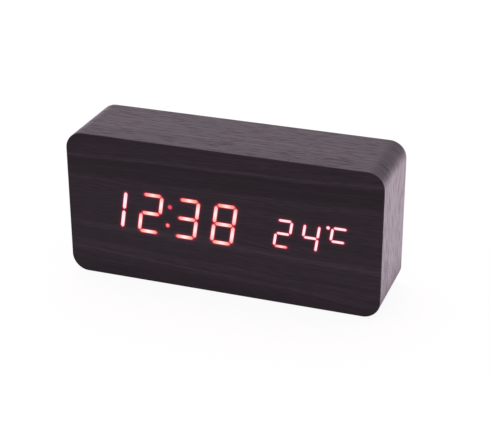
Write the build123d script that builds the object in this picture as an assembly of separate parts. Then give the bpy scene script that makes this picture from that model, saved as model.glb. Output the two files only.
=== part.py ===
from build123d import *
import math
import os

# A wood-look digital clock: an MDF block wrapped in wood-grain film, with a seven-segment LED display
# that shines through the front film, a control board behind it, and a plastic rear panel that holds
# three buttons, a power socket and a battery bay for three AAA cells. Millimetres. +X is right as seen
# from the front, +Y is towards the back, +Z is up, and the origin is under the middle of the case, on
# the surface it stands on.

# Case and film
case_width = 150.0
case_height = 70.0
case_depth = 39.0
case_corner_radius = 8.0
case_wall = 9.5
film_thickness = 0.4
film_trim = 0.1
film_seam = 0.15
cavity_corner_radius = 3.0
cut_overrun = 1.0

# Digits: a bar lies across a digit, a post stands in it, and both are measured from corner to corner.
# The middle of the first digit, the step to the next and the colon are shares of the case's width.
digit_slant_degrees = 8.2
time_first_share = -0.3449
time_step_share = 0.1187
colon_share = -0.1665
temperature_first_share = 0.1979
temperature_step_share = 0.0842
time_bar_length = 9.26
time_post_length = 9.26
time_stroke = 1.8
temperature_bar_length = 6.62
temperature_post_length = 6.45
temperature_stroke = 1.3
segment_gap = 0.25
colon_dot_spacing = 9.33
colon_dot_radius = 0.95
degree_dot_gap = 2.13
degree_dot_drop = 0.2
degree_dot_radius = 0.85

# Display module
reflector_depth = 8.0
reflector_margin = 1.5
window_clearance = 0.3
resin_clearance = 0.02
film_window_clearance = 0.03
led_length = 1.6
led_width = 0.8
led_height = 0.6
led_headroom = 0.2
board_thickness = 1.6
display_screw_inset = 3.6
board_clearance = 0.3

# Rear panel
panel_ledge = 5.0
panel_clearance = 0.2
panel_thickness = 2.0
panel_recess = 1.2
panel_corner_radius = 3.0
standoff_radius = 2.4
standoff_inset = 3.6

# Screws
screw_shank_radius = 1.0
screw_clearance = 0.05
screw_head_radius = 2.0
screw_head_height = 1.4
screw_slot_width = 0.6
screw_slot_depth = 0.5
screw_slot_length = 2.6
panel_screw_length = 11.0
board_screw_length = 6.5

# Battery cells and bay
cell_names = ("bottom", "middle", "top")
cell_diameter = 10.3
cell_length = 44.5
cell_edge_radius = 0.6
cell_nub_radius = 1.9
cell_nub_height = 0.9
cell_spacing = 0.5
cell_clearance = 0.3
cell_seat = 0.1
bay_wall = 2.2
bay_floor = 1.2
bay_side_gap = 8.0
bay_rib_width = 1.0
bay_rib_height = 2.2
bay_rib_inset = 6.0
contact_thickness = 0.4
contact_width = 7.6
contact_margin = 1.2
contact_play = 0.05
tab_width = 2.4
tab_reach = 0.9
tab_clearance = 0.1
spring_length = 4.2
spring_wire_radius = 0.3
spring_base_radius = 3.2
spring_tip_radius = 2.3
spring_turns = 3
spring_points_per_turn = 48

# Battery door
door_thickness = 1.6
door_lap = 1.2
door_clearance = 0.15
door_sink = 0.2
door_seat_clearance = 0.1
door_corner_radius = 1.0
hinge_pin_radius = 0.5
hinge_pin_length = 1.2
hinge_clearance = 0.05
latch_width = 10.0
latch_slot = 0.8
latch_slot_length = 8.0
latch_reach = 0.6
latch_rib_count = 3
latch_rib_width = 6.4
latch_rib_height = 0.6
latch_rib_pitch = 1.5
latch_rib_inset = 1.6
scoop_width = 12.0
scoop_height = 5.0
scoop_depth = 1.1

# Buttons and their switches
button_names = ("set", "up", "down")
button_radius = 3.2
button_rise = 1.0
button_edge_radius = 0.5
button_clearance = 0.15
button_flange_radius = 4.2
button_flange_thickness = 1.4
button_play = 0.1
button_mark_size = 2.6
button_mark_stroke = 0.5
button_mark_depth = 0.25
switch_size = 6.0
switch_body_height = 3.5
switch_bore_depth = 2.4
plunger_radius = 1.75
plunger_rise = 1.5
plunger_engagement = 1.2
plunger_clearance = 0.05

# Control board and what stands on it
control_board_gap = 3.2
column_shares = (0.16, 0.38, 0.6, 0.82)
row_spacing = 21.0
buzzer_radius = 5.5
buzzer_height = 5.2
buzzer_port_radius = 1.0
buzzer_port_depth = 2.0
sound_hole_radius = 0.6
sound_hole_ring = 3.0
sound_hole_count = 6
microphone_radius = 3.0
microphone_height = 2.2
microphone_hole_radius = 0.75
jack_size = 8.0
jack_bore_radius = 1.9
jack_bore_depth = 5.4
jack_pin_radius = 0.65
jack_pin_height = 4.6
jack_opening_radius = 3.0
jack_clearance = 0.1
thermistor_radius = 1.2
thermistor_leg_radius = 0.25
thermistor_leg_spacing = 1.4
thermistor_height = 3.4
vent_slit_count = 4
vent_slit_length = 7.0
vent_slit_width = 0.9
vent_slit_pitch = 2.2
chip_length = 17.8
chip_width = 7.5
chip_height = 2.4
chip_pin_count = 14
chip_pin_pitch = 1.27
chip_pin_width = 0.4
chip_pin_reach = 1.3
chip_pin_thickness = 0.3
chip_pin_level = 1.1
control_chip_share = 0.28
driver_chip_share = 0.27
capacitor_radius = 2.5
capacitor_height = 7.0
capacitor_drop = 13.0
crystal_radius = 1.0
crystal_length = 6.0
crystal_lift = 11.0
crystal_seat = 0.05
socket_length = 15.0
socket_width = 4.4
socket_height = 4.0
socket_slot_depth = 1.2
socket_slot_clearance = 0.1
socket_share = 0.72
socket_shift = 6.0
ribbon_width = 12.7
ribbon_thickness = 0.6
ribbon_bend_share = 0.42

# Battery leads
lead_radius = 0.65
lead_bend_radius = 2.0
lead_tail = 1.5
lead_landing = 4.0
lead_floor_gap = 1.4

# Levels along the depth
front_y = -case_depth / 2
back_y = case_depth / 2
core_front_y = front_y + film_thickness
core_back_y = back_y - film_thickness
display_board_front_y = core_front_y + reflector_depth
display_board_back_y = display_board_front_y + board_thickness
panel_face_y = back_y - panel_recess
panel_seat_y = panel_face_y - panel_thickness
switch_top_y = panel_seat_y - button_play - button_flange_thickness - plunger_rise
control_back_y = switch_top_y - switch_body_height
control_front_y = control_back_y - board_thickness
door_face_y = panel_face_y - door_sink
door_back_y = door_face_y - door_thickness
door_ledge_y = door_back_y - door_seat_clearance
cell_radius = cell_diameter / 2
cell_y = door_back_y - cell_clearance - cell_radius
bay_floor_y = cell_y - cell_radius - cell_seat
bay_bottom_y = bay_floor_y - bay_floor
middle_z = case_height / 2
slant = math.tan(math.radians(digit_slant_degrees))

# Seven-segment letters: for each stroke its kind and its place, in half bars across and half posts up
SEGMENT_PLACES = {
    "a": ("bar", 0, 2),
    "b": ("post", 1, 1),
    "c": ("post", 1, -1),
    "d": ("bar", 0, -2),
    "e": ("post", -1, -1),
    "f": ("post", -1, 1),
    "g": ("bar", 0, 0),
}
TIME_DIGITS = (
    ("hour_tens", "bc"),
    ("hour_units", "abdeg"),
    ("minute_tens", "abcdg"),
    ("minute_units", "abcdefg"),
)
TEMPERATURE_DIGITS = (
    ("temperature_tens", "abdeg"),
    ("temperature_units", "bcfg"),
    ("degree_c", "afg"),
)


def plane_at(y):
    """A drawing plane across the depth: its own x and y are the frame's X and Z."""
    return Plane(origin=(0, y, 0), x_dir=(1, 0, 0), z_dir=(0, -1, 0))


def slab(sketch, y_low, y_high):
    """A sketch drawn in X and Z, made solid between two levels of the depth."""
    return extrude(plane_at(y_high) * sketch, amount=y_high - y_low, dir=(0, -1, 0))


def rectangle(x_low, x_high, z_low, z_high, radius=0):
    width = x_high - x_low
    height = z_high - z_low
    shape = RectangleRounded(width, height, radius) if radius else Rectangle(width, height)
    return Pos((x_low + x_high) / 2, (z_low + z_high) / 2) * shape


def centred(width, height, radius=0):
    """A rectangle about the middle of the front face."""
    return rectangle(-width / 2, width / 2, middle_z - height / 2, middle_z + height / 2, radius)


def disc(x, z, radius):
    return Pos(x, z) * Circle(radius)


def block(x_low, x_high, y_low, y_high, z_low, z_high):
    return slab(rectangle(x_low, x_high, z_low, z_high), y_low, y_high)


def rod(x, z, radius, y_low, y_high):
    """A round bar along the depth."""
    return slab(disc(x, z, radius), y_low, y_high)


def cross_rod(x_low, x_high, y, z, radius):
    """A round bar along the width."""
    across = Plane(origin=(x_low, y, z), x_dir=(0, 1, 0), z_dir=(1, 0, 0))
    return extrude(across * Circle(radius), amount=x_high - x_low)


def group(solids):
    """Separate solids that share one node."""
    return Compound(children=[solid for part in solids for solid in part.solids()])


# Places of the segments and dots


def segment_outline(kind, x, z, bar, post, stroke, grow):
    """Corners of one mitred stroke, slanted, with every edge moved out by grow."""
    reach = (bar if kind == "bar" else post) / 2 - segment_gap + grow * math.sqrt(2)
    half = stroke / 2 + grow
    along_across = (
        (-reach, 0),
        (half - reach, -half),
        (reach - half, -half),
        (reach, 0),
        (reach - half, half),
        (half - reach, half),
    )
    if kind == "bar":
        corners = along_across
    else:
        corners = [(-across, along) for along, across in along_across]
    return [(x + dx + (z + dz - middle_z) * slant, z + dz) for dx, dz in corners]


def digit_segments(x, bar, post):
    """Name, kind and centre of each stroke of the digit that stands at x, before it is slanted."""
    for letter, (kind, across, up) in SEGMENT_PLACES.items():
        yield letter, kind, x + across * bar / 2, middle_z + up * post / 2


def display_marks():
    """Every segment and dot: the node it belongs to, whether it is lit, its centre and its sketch maker."""
    marks = []
    time_sizes = (time_bar_length, time_post_length, time_stroke)
    temperature_sizes = (temperature_bar_length, temperature_post_length, temperature_stroke)
    rows = (
        (TIME_DIGITS, time_first_share, time_step_share, time_sizes),
        (TEMPERATURE_DIGITS, temperature_first_share, temperature_step_share, temperature_sizes),
    )
    for digits, first_share, step_share, (bar, post, stroke) in rows:
        for place, (name, lit) in enumerate(digits):
            digit_x = (first_share + place * step_share) * case_width
            for letter, kind, x, z in digit_segments(digit_x, bar, post):
                marks.append(segment_mark(name, letter in lit, kind, x, z, bar, post, stroke))
    colon_x = colon_share * case_width
    for side in (-1, 1):
        marks.append(dot_mark("colon", colon_x, middle_z + side * colon_dot_spacing / 2, colon_dot_radius))
    letter_c_place = len(TEMPERATURE_DIGITS) - 1
    letter_c_x = (temperature_first_share + letter_c_place * temperature_step_share) * case_width
    degree_x = letter_c_x - temperature_bar_length / 2 - degree_dot_gap
    degree_z = middle_z + temperature_post_length - degree_dot_drop
    marks.append(dot_mark("degree_c", degree_x, degree_z, degree_dot_radius))
    return marks


def segment_mark(name, lit, kind, x, z, bar, post, stroke):
    def sketch(grow):
        return Polygon(segment_outline(kind, x, z, bar, post, stroke, grow))

    centre = (x + (z - middle_z) * slant, z)
    return {"name": name, "lit": lit, "kind": kind, "centre": centre, "sketch": sketch}


def dot_mark(name, x, z, radius):
    centre = (x + (z - middle_z) * slant, z)

    def sketch(grow):
        return disc(*centre, radius + grow)

    return {"name": name, "lit": True, "kind": "bar", "centre": centre, "sketch": sketch}


marks = display_marks()
outlines = [mark["sketch"](0).bounding_box() for mark in marks]

# Reflector: the marks and a margin round them
reflector_left = min(box.min.X for box in outlines) - reflector_margin
reflector_right = max(box.max.X for box in outlines) + reflector_margin
reflector_low = min(box.min.Y for box in outlines) - reflector_margin
reflector_high = max(box.max.Y for box in outlines) + reflector_margin

# Cavity, rear panel and display board
cavity_width = case_width - 2 * (film_thickness + case_wall)
cavity_height = case_height - 2 * (film_thickness + case_wall)
panel_width = cavity_width + 2 * panel_ledge
panel_height = cavity_height + 2 * panel_ledge
panel_screw_x = cavity_width / 2 + panel_ledge / 2
panel_screw_z = cavity_height / 2 + panel_ledge / 2
board_corner_radius = cavity_corner_radius - board_clearance
board_right = cavity_width / 2 - board_clearance
board_low = middle_z - cavity_height / 2 + board_clearance
board_high = middle_z + cavity_height / 2 - board_clearance
display_screw_places = [
    (side * (board_right - display_screw_inset), z)
    for side in (-1, 1)
    for z in ((board_low + reflector_low) / 2, (board_high + reflector_high) / 2)
]

# Battery bay and door
cell_count = len(cell_names)
cell_pitch = cell_diameter + cell_spacing
cell_places = [middle_z + (place - (cell_count - 1) / 2) * cell_pitch for place in range(cell_count)]
bay_length = 2 * contact_thickness + 3 * contact_play + cell_length + spring_length
bay_left = -cavity_width / 2 + bay_side_gap + bay_wall
bay_right = bay_left + bay_length
bay_low = cell_places[0] - cell_radius - cell_clearance
bay_high = cell_places[-1] + cell_radius + cell_clearance
door_left = bay_left - door_lap
door_right = bay_right + door_lap
door_low = bay_low - door_lap
door_high = bay_high + door_lap
hinge_y = (door_face_y + door_back_y) / 2
hinge_z = door_low + door_thickness / 2
latch_x = (door_left + door_right) / 2

# Control board
control_left = bay_right + bay_wall + control_board_gap
control_width = board_right - control_left
columns = [control_left + share * control_width for share in column_shares]
button_columns = columns[: len(button_names)]
buzzer_x, microphone_x, jack_x, thermistor_x = columns
button_row_z = middle_z + row_spacing / 2
socket_row_z = middle_z - row_spacing / 2
chip_x = control_left + control_chip_share * control_width
ribbon_x = control_left + socket_share * control_width
standoff_places = [
    (x, z)
    for x in (control_left + standoff_inset, board_right - standoff_inset)
    for z in (board_low + standoff_inset, board_high - standoff_inset)
]
panel_screw_places = [
    (side_x * panel_screw_x, middle_z + side_z * panel_screw_z) for side_x in (-1, 1) for side_z in (-1, 1)
]


# Case


def case_outline(inset):
    return centred(case_width - 2 * inset, case_height - 2 * inset, case_corner_radius - inset)


def panel_outline(grow):
    return centred(panel_width + 2 * grow, panel_height + 2 * grow, panel_corner_radius + grow)


def case_body():
    """The MDF block: routed out from the back, with a display window and a step for the rear panel."""
    body = slab(case_outline(film_thickness), core_front_y, core_back_y)
    cavity = centred(cavity_width, cavity_height, cavity_corner_radius)
    body -= slab(cavity, display_board_front_y, core_back_y + cut_overrun)
    body -= slab(panel_outline(panel_clearance), panel_seat_y, core_back_y + cut_overrun)
    window = rectangle(
        reflector_left - window_clearance,
        reflector_right + window_clearance,
        reflector_low - window_clearance,
        reflector_high + window_clearance,
    )
    body -= slab(window, core_front_y - cut_overrun, display_board_front_y + cut_overrun)
    hole = screw_shank_radius + screw_clearance
    for x, z in panel_screw_places:
        tip_y = panel_face_y - panel_screw_length
        body -= rod(x, z, hole, tip_y, panel_face_y)
    for x, z in display_screw_places:
        tip_y = display_board_back_y - board_screw_length
        body -= rod(x, z, hole, tip_y, display_board_back_y)
    return body


def side_film():
    """One band of film round the four sides, with its butt joint underneath."""
    band = slab(case_outline(0) - case_outline(film_thickness), core_front_y, core_back_y)
    seam = rectangle(-film_seam / 2, film_seam / 2, -cut_overrun, film_thickness + cut_overrun)
    return band - slab(seam, core_front_y - cut_overrun, core_back_y + cut_overrun)


def front_film():
    """The sheet over the front, open where a lit segment shines through it."""
    sheet = case_outline(film_trim)
    for mark in marks:
        if mark["lit"]:
            sheet -= mark["sketch"](film_window_clearance)
    return slab(sheet, front_y, core_front_y)


def back_film():
    return slab(case_outline(film_trim) - panel_outline(panel_clearance), core_back_y, back_y)


# Display module


def display_reflector():
    """The moulded block with one light well for each segment and dot."""
    face = rectangle(reflector_left, reflector_right, reflector_low, reflector_high)
    for mark in marks:
        face -= mark["sketch"](0)
    return slab(face, core_front_y, display_board_front_y)


def segments(name):
    """The lit resin bars of one digit. They come through the film to its face."""
    bottom_y = display_board_front_y - led_height - led_headroom
    lit = [mark for mark in marks if mark["lit"] and mark["name"] == name]
    return group(slab(mark["sketch"](-resin_clearance), front_y, bottom_y) for mark in lit)


def dark_segments():
    """The resin bars that aren't lit. They stop behind the film."""
    bottom_y = display_board_front_y - led_height - led_headroom
    dark = [mark for mark in marks if not mark["lit"]]
    return group(slab(mark["sketch"](-resin_clearance), core_front_y, bottom_y) for mark in dark)


def led_chips():
    chips = []
    for mark in marks:
        x, z = mark["centre"]
        width, height = (led_length, led_width) if mark["kind"] == "bar" else (led_width, led_length)
        outline = rectangle(x - width / 2, x + width / 2, z - height / 2, z + height / 2)
        chips.append(slab(outline, display_board_front_y - led_height, display_board_front_y))
    return group(chips)


def display_board():
    face = rectangle(-board_right, board_right, board_low, board_high, board_corner_radius)
    for x, z in display_screw_places:
        face -= disc(x, z, screw_shank_radius + screw_clearance)
    return slab(face, display_board_front_y, display_board_back_y)


# Fasteners


def pan_screw(x, z, seat_y, length, toward_back):
    """A pan-head screw on the depth axis: its head sits on seat_y and its shank runs the other way."""
    way = 1 if toward_back else -1
    top_y = seat_y + way * screw_head_height
    shank = sorted((seat_y - way * length, seat_y))
    head = sorted((seat_y, top_y))
    screw = rod(x, z, screw_shank_radius, *shank) + rod(x, z, screw_head_radius, *head)
    return screw - cross_slot(x, z, top_y, way)


def cross_slot(x, z, top_y, way):
    """The cross recess in a screw head whose top is at top_y."""
    run = sorted((top_y - way * screw_slot_depth, top_y + way * cut_overrun))
    half_long = screw_slot_length / 2
    half_wide = screw_slot_width / 2
    flat = block(x - half_long, x + half_long, *run, z - half_wide, z + half_wide)
    return flat + block(x - half_wide, x + half_wide, *run, z - half_long, z + half_long)


def countersunk_screw(x, z):
    """A cross-head screw whose cone lies in the rear panel, flush with its face."""
    neck_y = panel_face_y - screw_head_height
    shank = rod(x, z, screw_shank_radius, panel_face_y - panel_screw_length, neck_y)
    return shank + head_cone(x, z, 0) - cross_slot(x, z, panel_face_y, 1)


def head_cone(x, z, grow):
    """The cone of a countersunk head, or of its seat when it is grown."""
    rim = plane_at(panel_face_y) * disc(x, z, screw_head_radius + grow)
    neck = plane_at(panel_face_y - screw_head_height) * disc(x, z, screw_shank_radius + grow)
    return loft([rim, neck])


def display_board_screws():
    places = display_screw_places
    return group(pan_screw(x, z, display_board_back_y, board_screw_length, True) for x, z in places)


def control_board_screws():
    return group(pan_screw(x, z, control_front_y, board_screw_length, False) for x, z in standoff_places)


def panel_screws():
    return group(countersunk_screw(x, z) for x, z in panel_screw_places)


# Rear panel


def rear_panel():
    """The plastic back: a plate with its holes, the battery bay, and standoffs for the control board."""
    plate = slab(panel_outline(0), panel_seat_y, panel_face_y)
    tub = rectangle(bay_left - bay_wall, bay_right + bay_wall, bay_low - bay_wall, bay_high + bay_wall)
    panel = plate + slab(tub, bay_bottom_y, panel_seat_y)
    for x, z in standoff_places:
        panel += rod(x, z, standoff_radius, control_back_y, panel_seat_y)
    panel -= block(
        door_left - door_clearance,
        door_right + door_clearance,
        door_ledge_y,
        panel_face_y + cut_overrun,
        door_low - door_clearance,
        door_high + door_clearance,
    )
    panel -= block(bay_left, bay_right, bay_floor_y, panel_face_y, bay_low, bay_high)
    panel += bay_ribs()
    panel -= latch_notch()
    panel -= hinge_sockets()
    panel -= tab_slots()
    return panel - panel_holes()


def bay_ribs():
    """Low ribs on the floor of the bay that keep the cells apart."""
    ribs = Part()
    for below, above in zip(cell_places, cell_places[1:]):
        z = (below + above) / 2
        top_y = bay_floor_y + bay_rib_height
        run = (bay_left + bay_rib_inset, bay_right - bay_rib_inset)
        ribs += block(*run, bay_floor_y, top_y, z - bay_rib_width / 2, z + bay_rib_width / 2)
    return ribs


def latch_notch():
    """Room for the latch tongue above the door, and a scoop for a fingertip."""
    half = latch_width / 2 + door_clearance
    top_z = door_high + latch_reach + door_clearance
    notch = block(latch_x - half, latch_x + half, door_ledge_y, panel_face_y + cut_overrun, bay_high, top_z)
    scoop = Pos(latch_x, top_z) * SlotOverall(scoop_width, scoop_height)
    return notch + slab(scoop, panel_face_y - scoop_depth, panel_face_y + cut_overrun)


def hinge_sockets():
    """Blind holes in the sides of the door recess for the door's two hinge pins."""
    radius = hinge_pin_radius + hinge_clearance
    reach = hinge_pin_length + door_clearance
    left = cross_rod(door_left - reach, door_left, hinge_y, hinge_z, radius)
    return left + cross_rod(door_right, door_right + reach, hinge_y, hinge_z, radius)


def tab_places():
    """The solder tabs of the two end contacts: x of the end wall, the way out, and the cell's height."""
    return ((bay_left, -1, cell_places[-1]), (bay_right, 1, cell_places[0]))


def tab_slots():
    slots = Part()
    half = tab_width / 2 + tab_clearance
    thick = contact_thickness / 2 + tab_clearance
    for x, way, z in tab_places():
        run = sorted((x - way * contact_thickness, x + way * (bay_wall + cut_overrun)))
        slots += block(*run, cell_y - half, cell_y + half, z - thick, z + thick)
    return slots


def panel_holes():
    """Every hole through the plate, and the screw holes in the standoffs."""
    through = (panel_seat_y - cut_overrun, panel_face_y + cut_overrun)
    button_hole = button_radius + button_clearance
    screw_hole = screw_shank_radius + screw_clearance
    holes = [rod(x, button_row_z, button_hole, *through) for x in button_columns]
    holes.append(rod(buzzer_x, socket_row_z, sound_hole_radius, *through))
    for step in range(sound_hole_count):
        turn = 2 * math.pi * step / sound_hole_count
        x = buzzer_x + sound_hole_ring * math.cos(turn)
        z = socket_row_z + sound_hole_ring * math.sin(turn)
        holes.append(rod(x, z, sound_hole_radius, *through))
    holes.append(rod(microphone_x, socket_row_z, microphone_hole_radius, *through))
    holes.append(rod(jack_x, socket_row_z, jack_opening_radius, *through))
    for slit in range(vent_slit_count):
        z = button_row_z + (slit - (vent_slit_count - 1) / 2) * vent_slit_pitch
        outline = Pos(thermistor_x, z) * SlotOverall(vent_slit_length, vent_slit_width)
        holes.append(slab(outline, *through))
    for x, z in standoff_places:
        tip_y = control_front_y + board_screw_length
        holes.append(rod(x, z, screw_hole, control_back_y - cut_overrun, tip_y))
    for x, z in panel_screw_places:
        holes.append(head_cone(x, z, screw_clearance))
        holes.append(rod(x, z, screw_hole, panel_seat_y - cut_overrun, panel_face_y))
    return Part() + holes


# Battery door


def battery_door():
    """The lid of the bay: its lower edge is round about the hinge pins, and a tongue latches its top."""
    plate = block(door_left, door_right, door_back_y, door_face_y, hinge_z, door_high)
    top_edges = plate.edges().filter_by(Axis.Y).group_by(Axis.Z)[-1]
    door = fillet(top_edges, door_corner_radius)
    door += cross_rod(door_left, door_right, hinge_y, hinge_z, door_thickness / 2)
    door += cross_rod(
        door_left - hinge_pin_length, door_right + hinge_pin_length, hinge_y, hinge_z, hinge_pin_radius
    )
    half = latch_width / 2
    slot_low = door_high - latch_slot_length
    run = (door_back_y - cut_overrun, door_face_y + cut_overrun)
    for side in (-1, 1):
        edge_x = latch_x + side * half
        sides = sorted((edge_x, edge_x - side * latch_slot))
        door -= block(*sides, *run, slot_low, door_high + cut_overrun)
    inner = half - latch_slot
    tongue = rectangle(latch_x - inner, latch_x + inner, door_high, door_high + latch_reach)
    door += slab(tongue, door_back_y, door_face_y)
    for rib in range(latch_rib_count):
        z = door_high - latch_rib_inset - rib * latch_rib_pitch
        ridge = Pos(latch_x, z) * Rectangle(latch_rib_width, latch_rib_height)
        door += slab(ridge, door_face_y, panel_face_y)
    return door


# Battery cells and contacts


def battery_cell(place):
    """One AAA cell along the width. Every other cell is turned end for end, so that they join in series."""
    can_length = cell_length - cell_nub_height
    can = cross_rod(0, can_length, 0, 0, cell_radius)
    can = fillet(can.edges().filter_by(GeomType.CIRCLE), cell_edge_radius)
    cell = can + cross_rod(can_length, cell_length, 0, 0, cell_nub_radius)
    z = cell_places[place]
    if plus_on_right(place):
        nub_x = bay_right - contact_thickness - contact_play
        return Pos(nub_x - cell_length, cell_y, z) * cell
    nub_x = bay_left + contact_thickness + contact_play
    return Pos(nub_x + cell_length, cell_y, z) * Rot(0, 0, 180) * cell


def plus_on_right(place):
    return (cell_count - 1 - place) % 2 == 0


def contact_plate(x, way, cells):
    """A sprung-steel plate on one end wall of the bay that spans the cells it joins."""
    z_low = min(cells) - contact_width / 2
    z_high = max(cells) + contact_width / 2
    face = sorted((x, x - way * contact_thickness))
    return block(*face, bay_floor_y + contact_margin, door_ledge_y - contact_margin, z_low, z_high)


def contact_plates():
    """Two end plates with solder tabs, and the plates that join one cell to the next."""
    plates = []
    half = tab_width / 2
    for x, way, z in tab_places():
        plate = contact_plate(x, way, [z])
        tab = sorted((x - way * contact_thickness, x + way * (bay_wall + tab_reach)))
        thick = contact_thickness / 2
        plates.append(plate + block(*tab, cell_y - half, cell_y + half, z - thick, z + thick))
    for place in range(cell_count - 1):
        pair = cell_places[place : place + 2]
        at_left = plus_on_right(place)
        x, way = (bay_left, -1) if at_left else (bay_right, 1)
        plates.append(contact_plate(x, way, pair))
    return group(plates)


def spring_coil(place):
    """The middle line of the conical spring between a contact plate and the flat end of one cell."""
    rise = spring_length - 2 * spring_wire_radius
    taper = math.degrees(math.atan((spring_tip_radius - spring_base_radius) / rise))
    at_left = plus_on_right(place)
    way = 1 if at_left else -1
    wall_x = bay_left if at_left else bay_right
    base_x = wall_x + way * (contact_thickness + contact_play + spring_wire_radius)
    base = (base_x, cell_y, cell_places[place])
    return Helix(rise / spring_turns, rise, spring_base_radius, base, (way, 0, 0), cone_angle=taper)


def battery_springs():
    springs = []
    for place in range(cell_count):
        coil = spring_coil(place)
        wire = Plane(origin=coil @ 0, z_dir=coil % 0) * Circle(spring_wire_radius)
        springs.append(sweep(wire, path=coil, is_frenet=True))
    return group(springs)


def least_spring_gap():
    """The least gap between the turns of a spring's wire, measured on points half a turn apart or more."""
    coil = spring_coil(0)
    steps = spring_turns * spring_points_per_turn
    points = [coil @ (step / steps) for step in range(steps + 1)]
    apart = spring_points_per_turn // 2
    distances = [
        (point - other).length
        for place, point in enumerate(points)
        for other in points[place + apart :]
    ]
    return min(distances) - 2 * spring_wire_radius


def lead(points):
    """An insulated wire along a run of points, with its bends rounded."""
    path = FilletPolyline(*points, radius=lead_bend_radius)
    wire = Plane(origin=path @ 0, z_dir=path % 0) * Circle(lead_radius)
    return sweep(wire, path=path)


def lead_to_board(tab_x, way, z):
    """A lead from the side of a solder tab, under the bay, to the front of the control board."""
    start_x = tab_x + way * (bay_wall + tab_reach + lead_radius)
    under_y = bay_bottom_y - lead_floor_gap
    land_x = control_left + lead_landing
    start = (start_x, cell_y + lead_tail, z)
    return lead([start, (start_x, under_y, z), (land_x, under_y, z), (land_x, control_front_y, z)])


def black_lead():
    return lead_to_board(*tab_places()[0])


def red_lead():
    return lead_to_board(*tab_places()[1])


# Buttons


def button(place):
    """A round cap with a flange inside the panel. A mark sunk in its top says what it does."""
    x = button_columns[place]
    top_y = panel_face_y + button_rise
    flange_low = panel_seat_y - button_play - button_flange_thickness
    cap = rod(x, button_row_z, button_radius, flange_low, top_y)
    cap = fillet(cap.edges().group_by(Axis.Y)[-1], button_edge_radius)
    cap += rod(x, button_row_z, button_flange_radius, flange_low, flange_low + button_flange_thickness)
    return cap - slab(button_mark(place, x), top_y - button_mark_depth, top_y + cut_overrun)


def button_mark(place, x):
    """A ring for the set button, and triangles that point up and down for the other two."""
    half = button_mark_size / 2
    if place == 0:
        return disc(x, button_row_z, half) - disc(x, button_row_z, half - button_mark_stroke)
    way = 1 if place == 1 else -1
    tip = (x, button_row_z + way * half)
    feet = [(x - way * half, button_row_z - way * half), (x + way * half, button_row_z - way * half)]
    return Polygon(feet + [tip])


def plunger(place):
    run = (switch_top_y - plunger_engagement, switch_top_y + plunger_rise)
    return rod(button_columns[place], button_row_z, plunger_radius, *run)


def switch_bodies():
    bodies = []
    for x in button_columns:
        square = Pos(x, button_row_z) * Rectangle(switch_size, switch_size)
        bore = disc(x, button_row_z, plunger_radius + plunger_clearance)
        body = slab(square, control_back_y, switch_top_y)
        bodies.append(body - slab(bore, switch_top_y - switch_bore_depth, switch_top_y + cut_overrun))
    return group(bodies)


# Control board and what stands on it


def control_board():
    face = rectangle(control_left, board_right, board_low, board_high, board_corner_radius)
    for x, z in standoff_places:
        face -= disc(x, z, screw_shank_radius + screw_clearance)
    return slab(face, control_front_y, control_back_y)


def buzzer():
    top_y = control_back_y + buzzer_height
    body = rod(buzzer_x, socket_row_z, buzzer_radius, control_back_y, top_y)
    port_run = (top_y - buzzer_port_depth, top_y + cut_overrun)
    return body - rod(buzzer_x, socket_row_z, buzzer_port_radius, *port_run)


def microphone():
    top_y = control_back_y + microphone_height
    return rod(microphone_x, socket_row_z, microphone_radius, control_back_y, top_y)


def power_jack():
    """The socket for a round low-voltage plug, facing out through the panel."""
    square = Pos(jack_x, socket_row_z) * Rectangle(jack_size, jack_size)
    mouth_y = panel_seat_y - jack_clearance
    bore_run = (mouth_y - jack_bore_depth, mouth_y + cut_overrun)
    return slab(square, control_back_y, mouth_y) - rod(jack_x, socket_row_z, jack_bore_radius, *bore_run)


def power_jack_pin():
    floor_y = panel_seat_y - jack_clearance - jack_bore_depth
    return rod(jack_x, socket_row_z, jack_pin_radius, floor_y, floor_y + jack_pin_height)


def thermistor():
    """The temperature sensor: a bead on two legs, behind the vent slits."""
    bead_y = control_back_y + thermistor_height
    sensor = Pos(thermistor_x, bead_y, button_row_z) * Sphere(thermistor_radius)
    for side in (-1, 1):
        leg_x = thermistor_x + side * thermistor_leg_spacing / 2
        sensor += rod(leg_x, button_row_z, thermistor_leg_radius, control_back_y, bead_y)
    return sensor


def chip(x, z, board_y, way):
    """A flat chip with a row of bent pins along each long side, standing off board_y towards way."""
    half_long = chip_length / 2
    half_wide = chip_width / 2
    body_run = sorted((board_y + way * chip_pin_thickness, board_y + way * chip_height))
    body = block(x - half_long, x + half_long, *body_run, z - half_wide, z + half_wide)
    knee_y = board_y + way * chip_pin_level
    arm_run = sorted((knee_y, knee_y - way * chip_pin_thickness))
    leg_run = sorted((board_y, knee_y))
    for pin in range(chip_pin_count):
        pin_x = x + (pin - (chip_pin_count - 1) / 2) * chip_pin_pitch
        across = (pin_x - chip_pin_width / 2, pin_x + chip_pin_width / 2)
        for side in (-1, 1):
            knee_z = z + side * (half_wide + chip_pin_reach)
            arm = sorted((z + side * half_wide, knee_z))
            leg = sorted((knee_z, knee_z - side * chip_pin_thickness))
            body += block(*across, *arm_run, *arm) + block(*across, *leg_run, *leg)
    return body


def control_chip():
    return chip(chip_x, middle_z, control_front_y, -1)


def driver_chip():
    return chip((2 * driver_chip_share - 1) * board_right, middle_z, display_board_back_y, 1)


def capacitor():
    z = middle_z - capacitor_drop
    return rod(chip_x, z, capacitor_radius, control_front_y - capacitor_height, control_front_y)


def crystal():
    """A watch crystal in its can, lying on the board."""
    y = control_front_y - crystal_radius - crystal_seat
    half = crystal_length / 2
    return cross_rod(chip_x - half, chip_x + half, y, middle_z + crystal_lift, crystal_radius)


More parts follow.
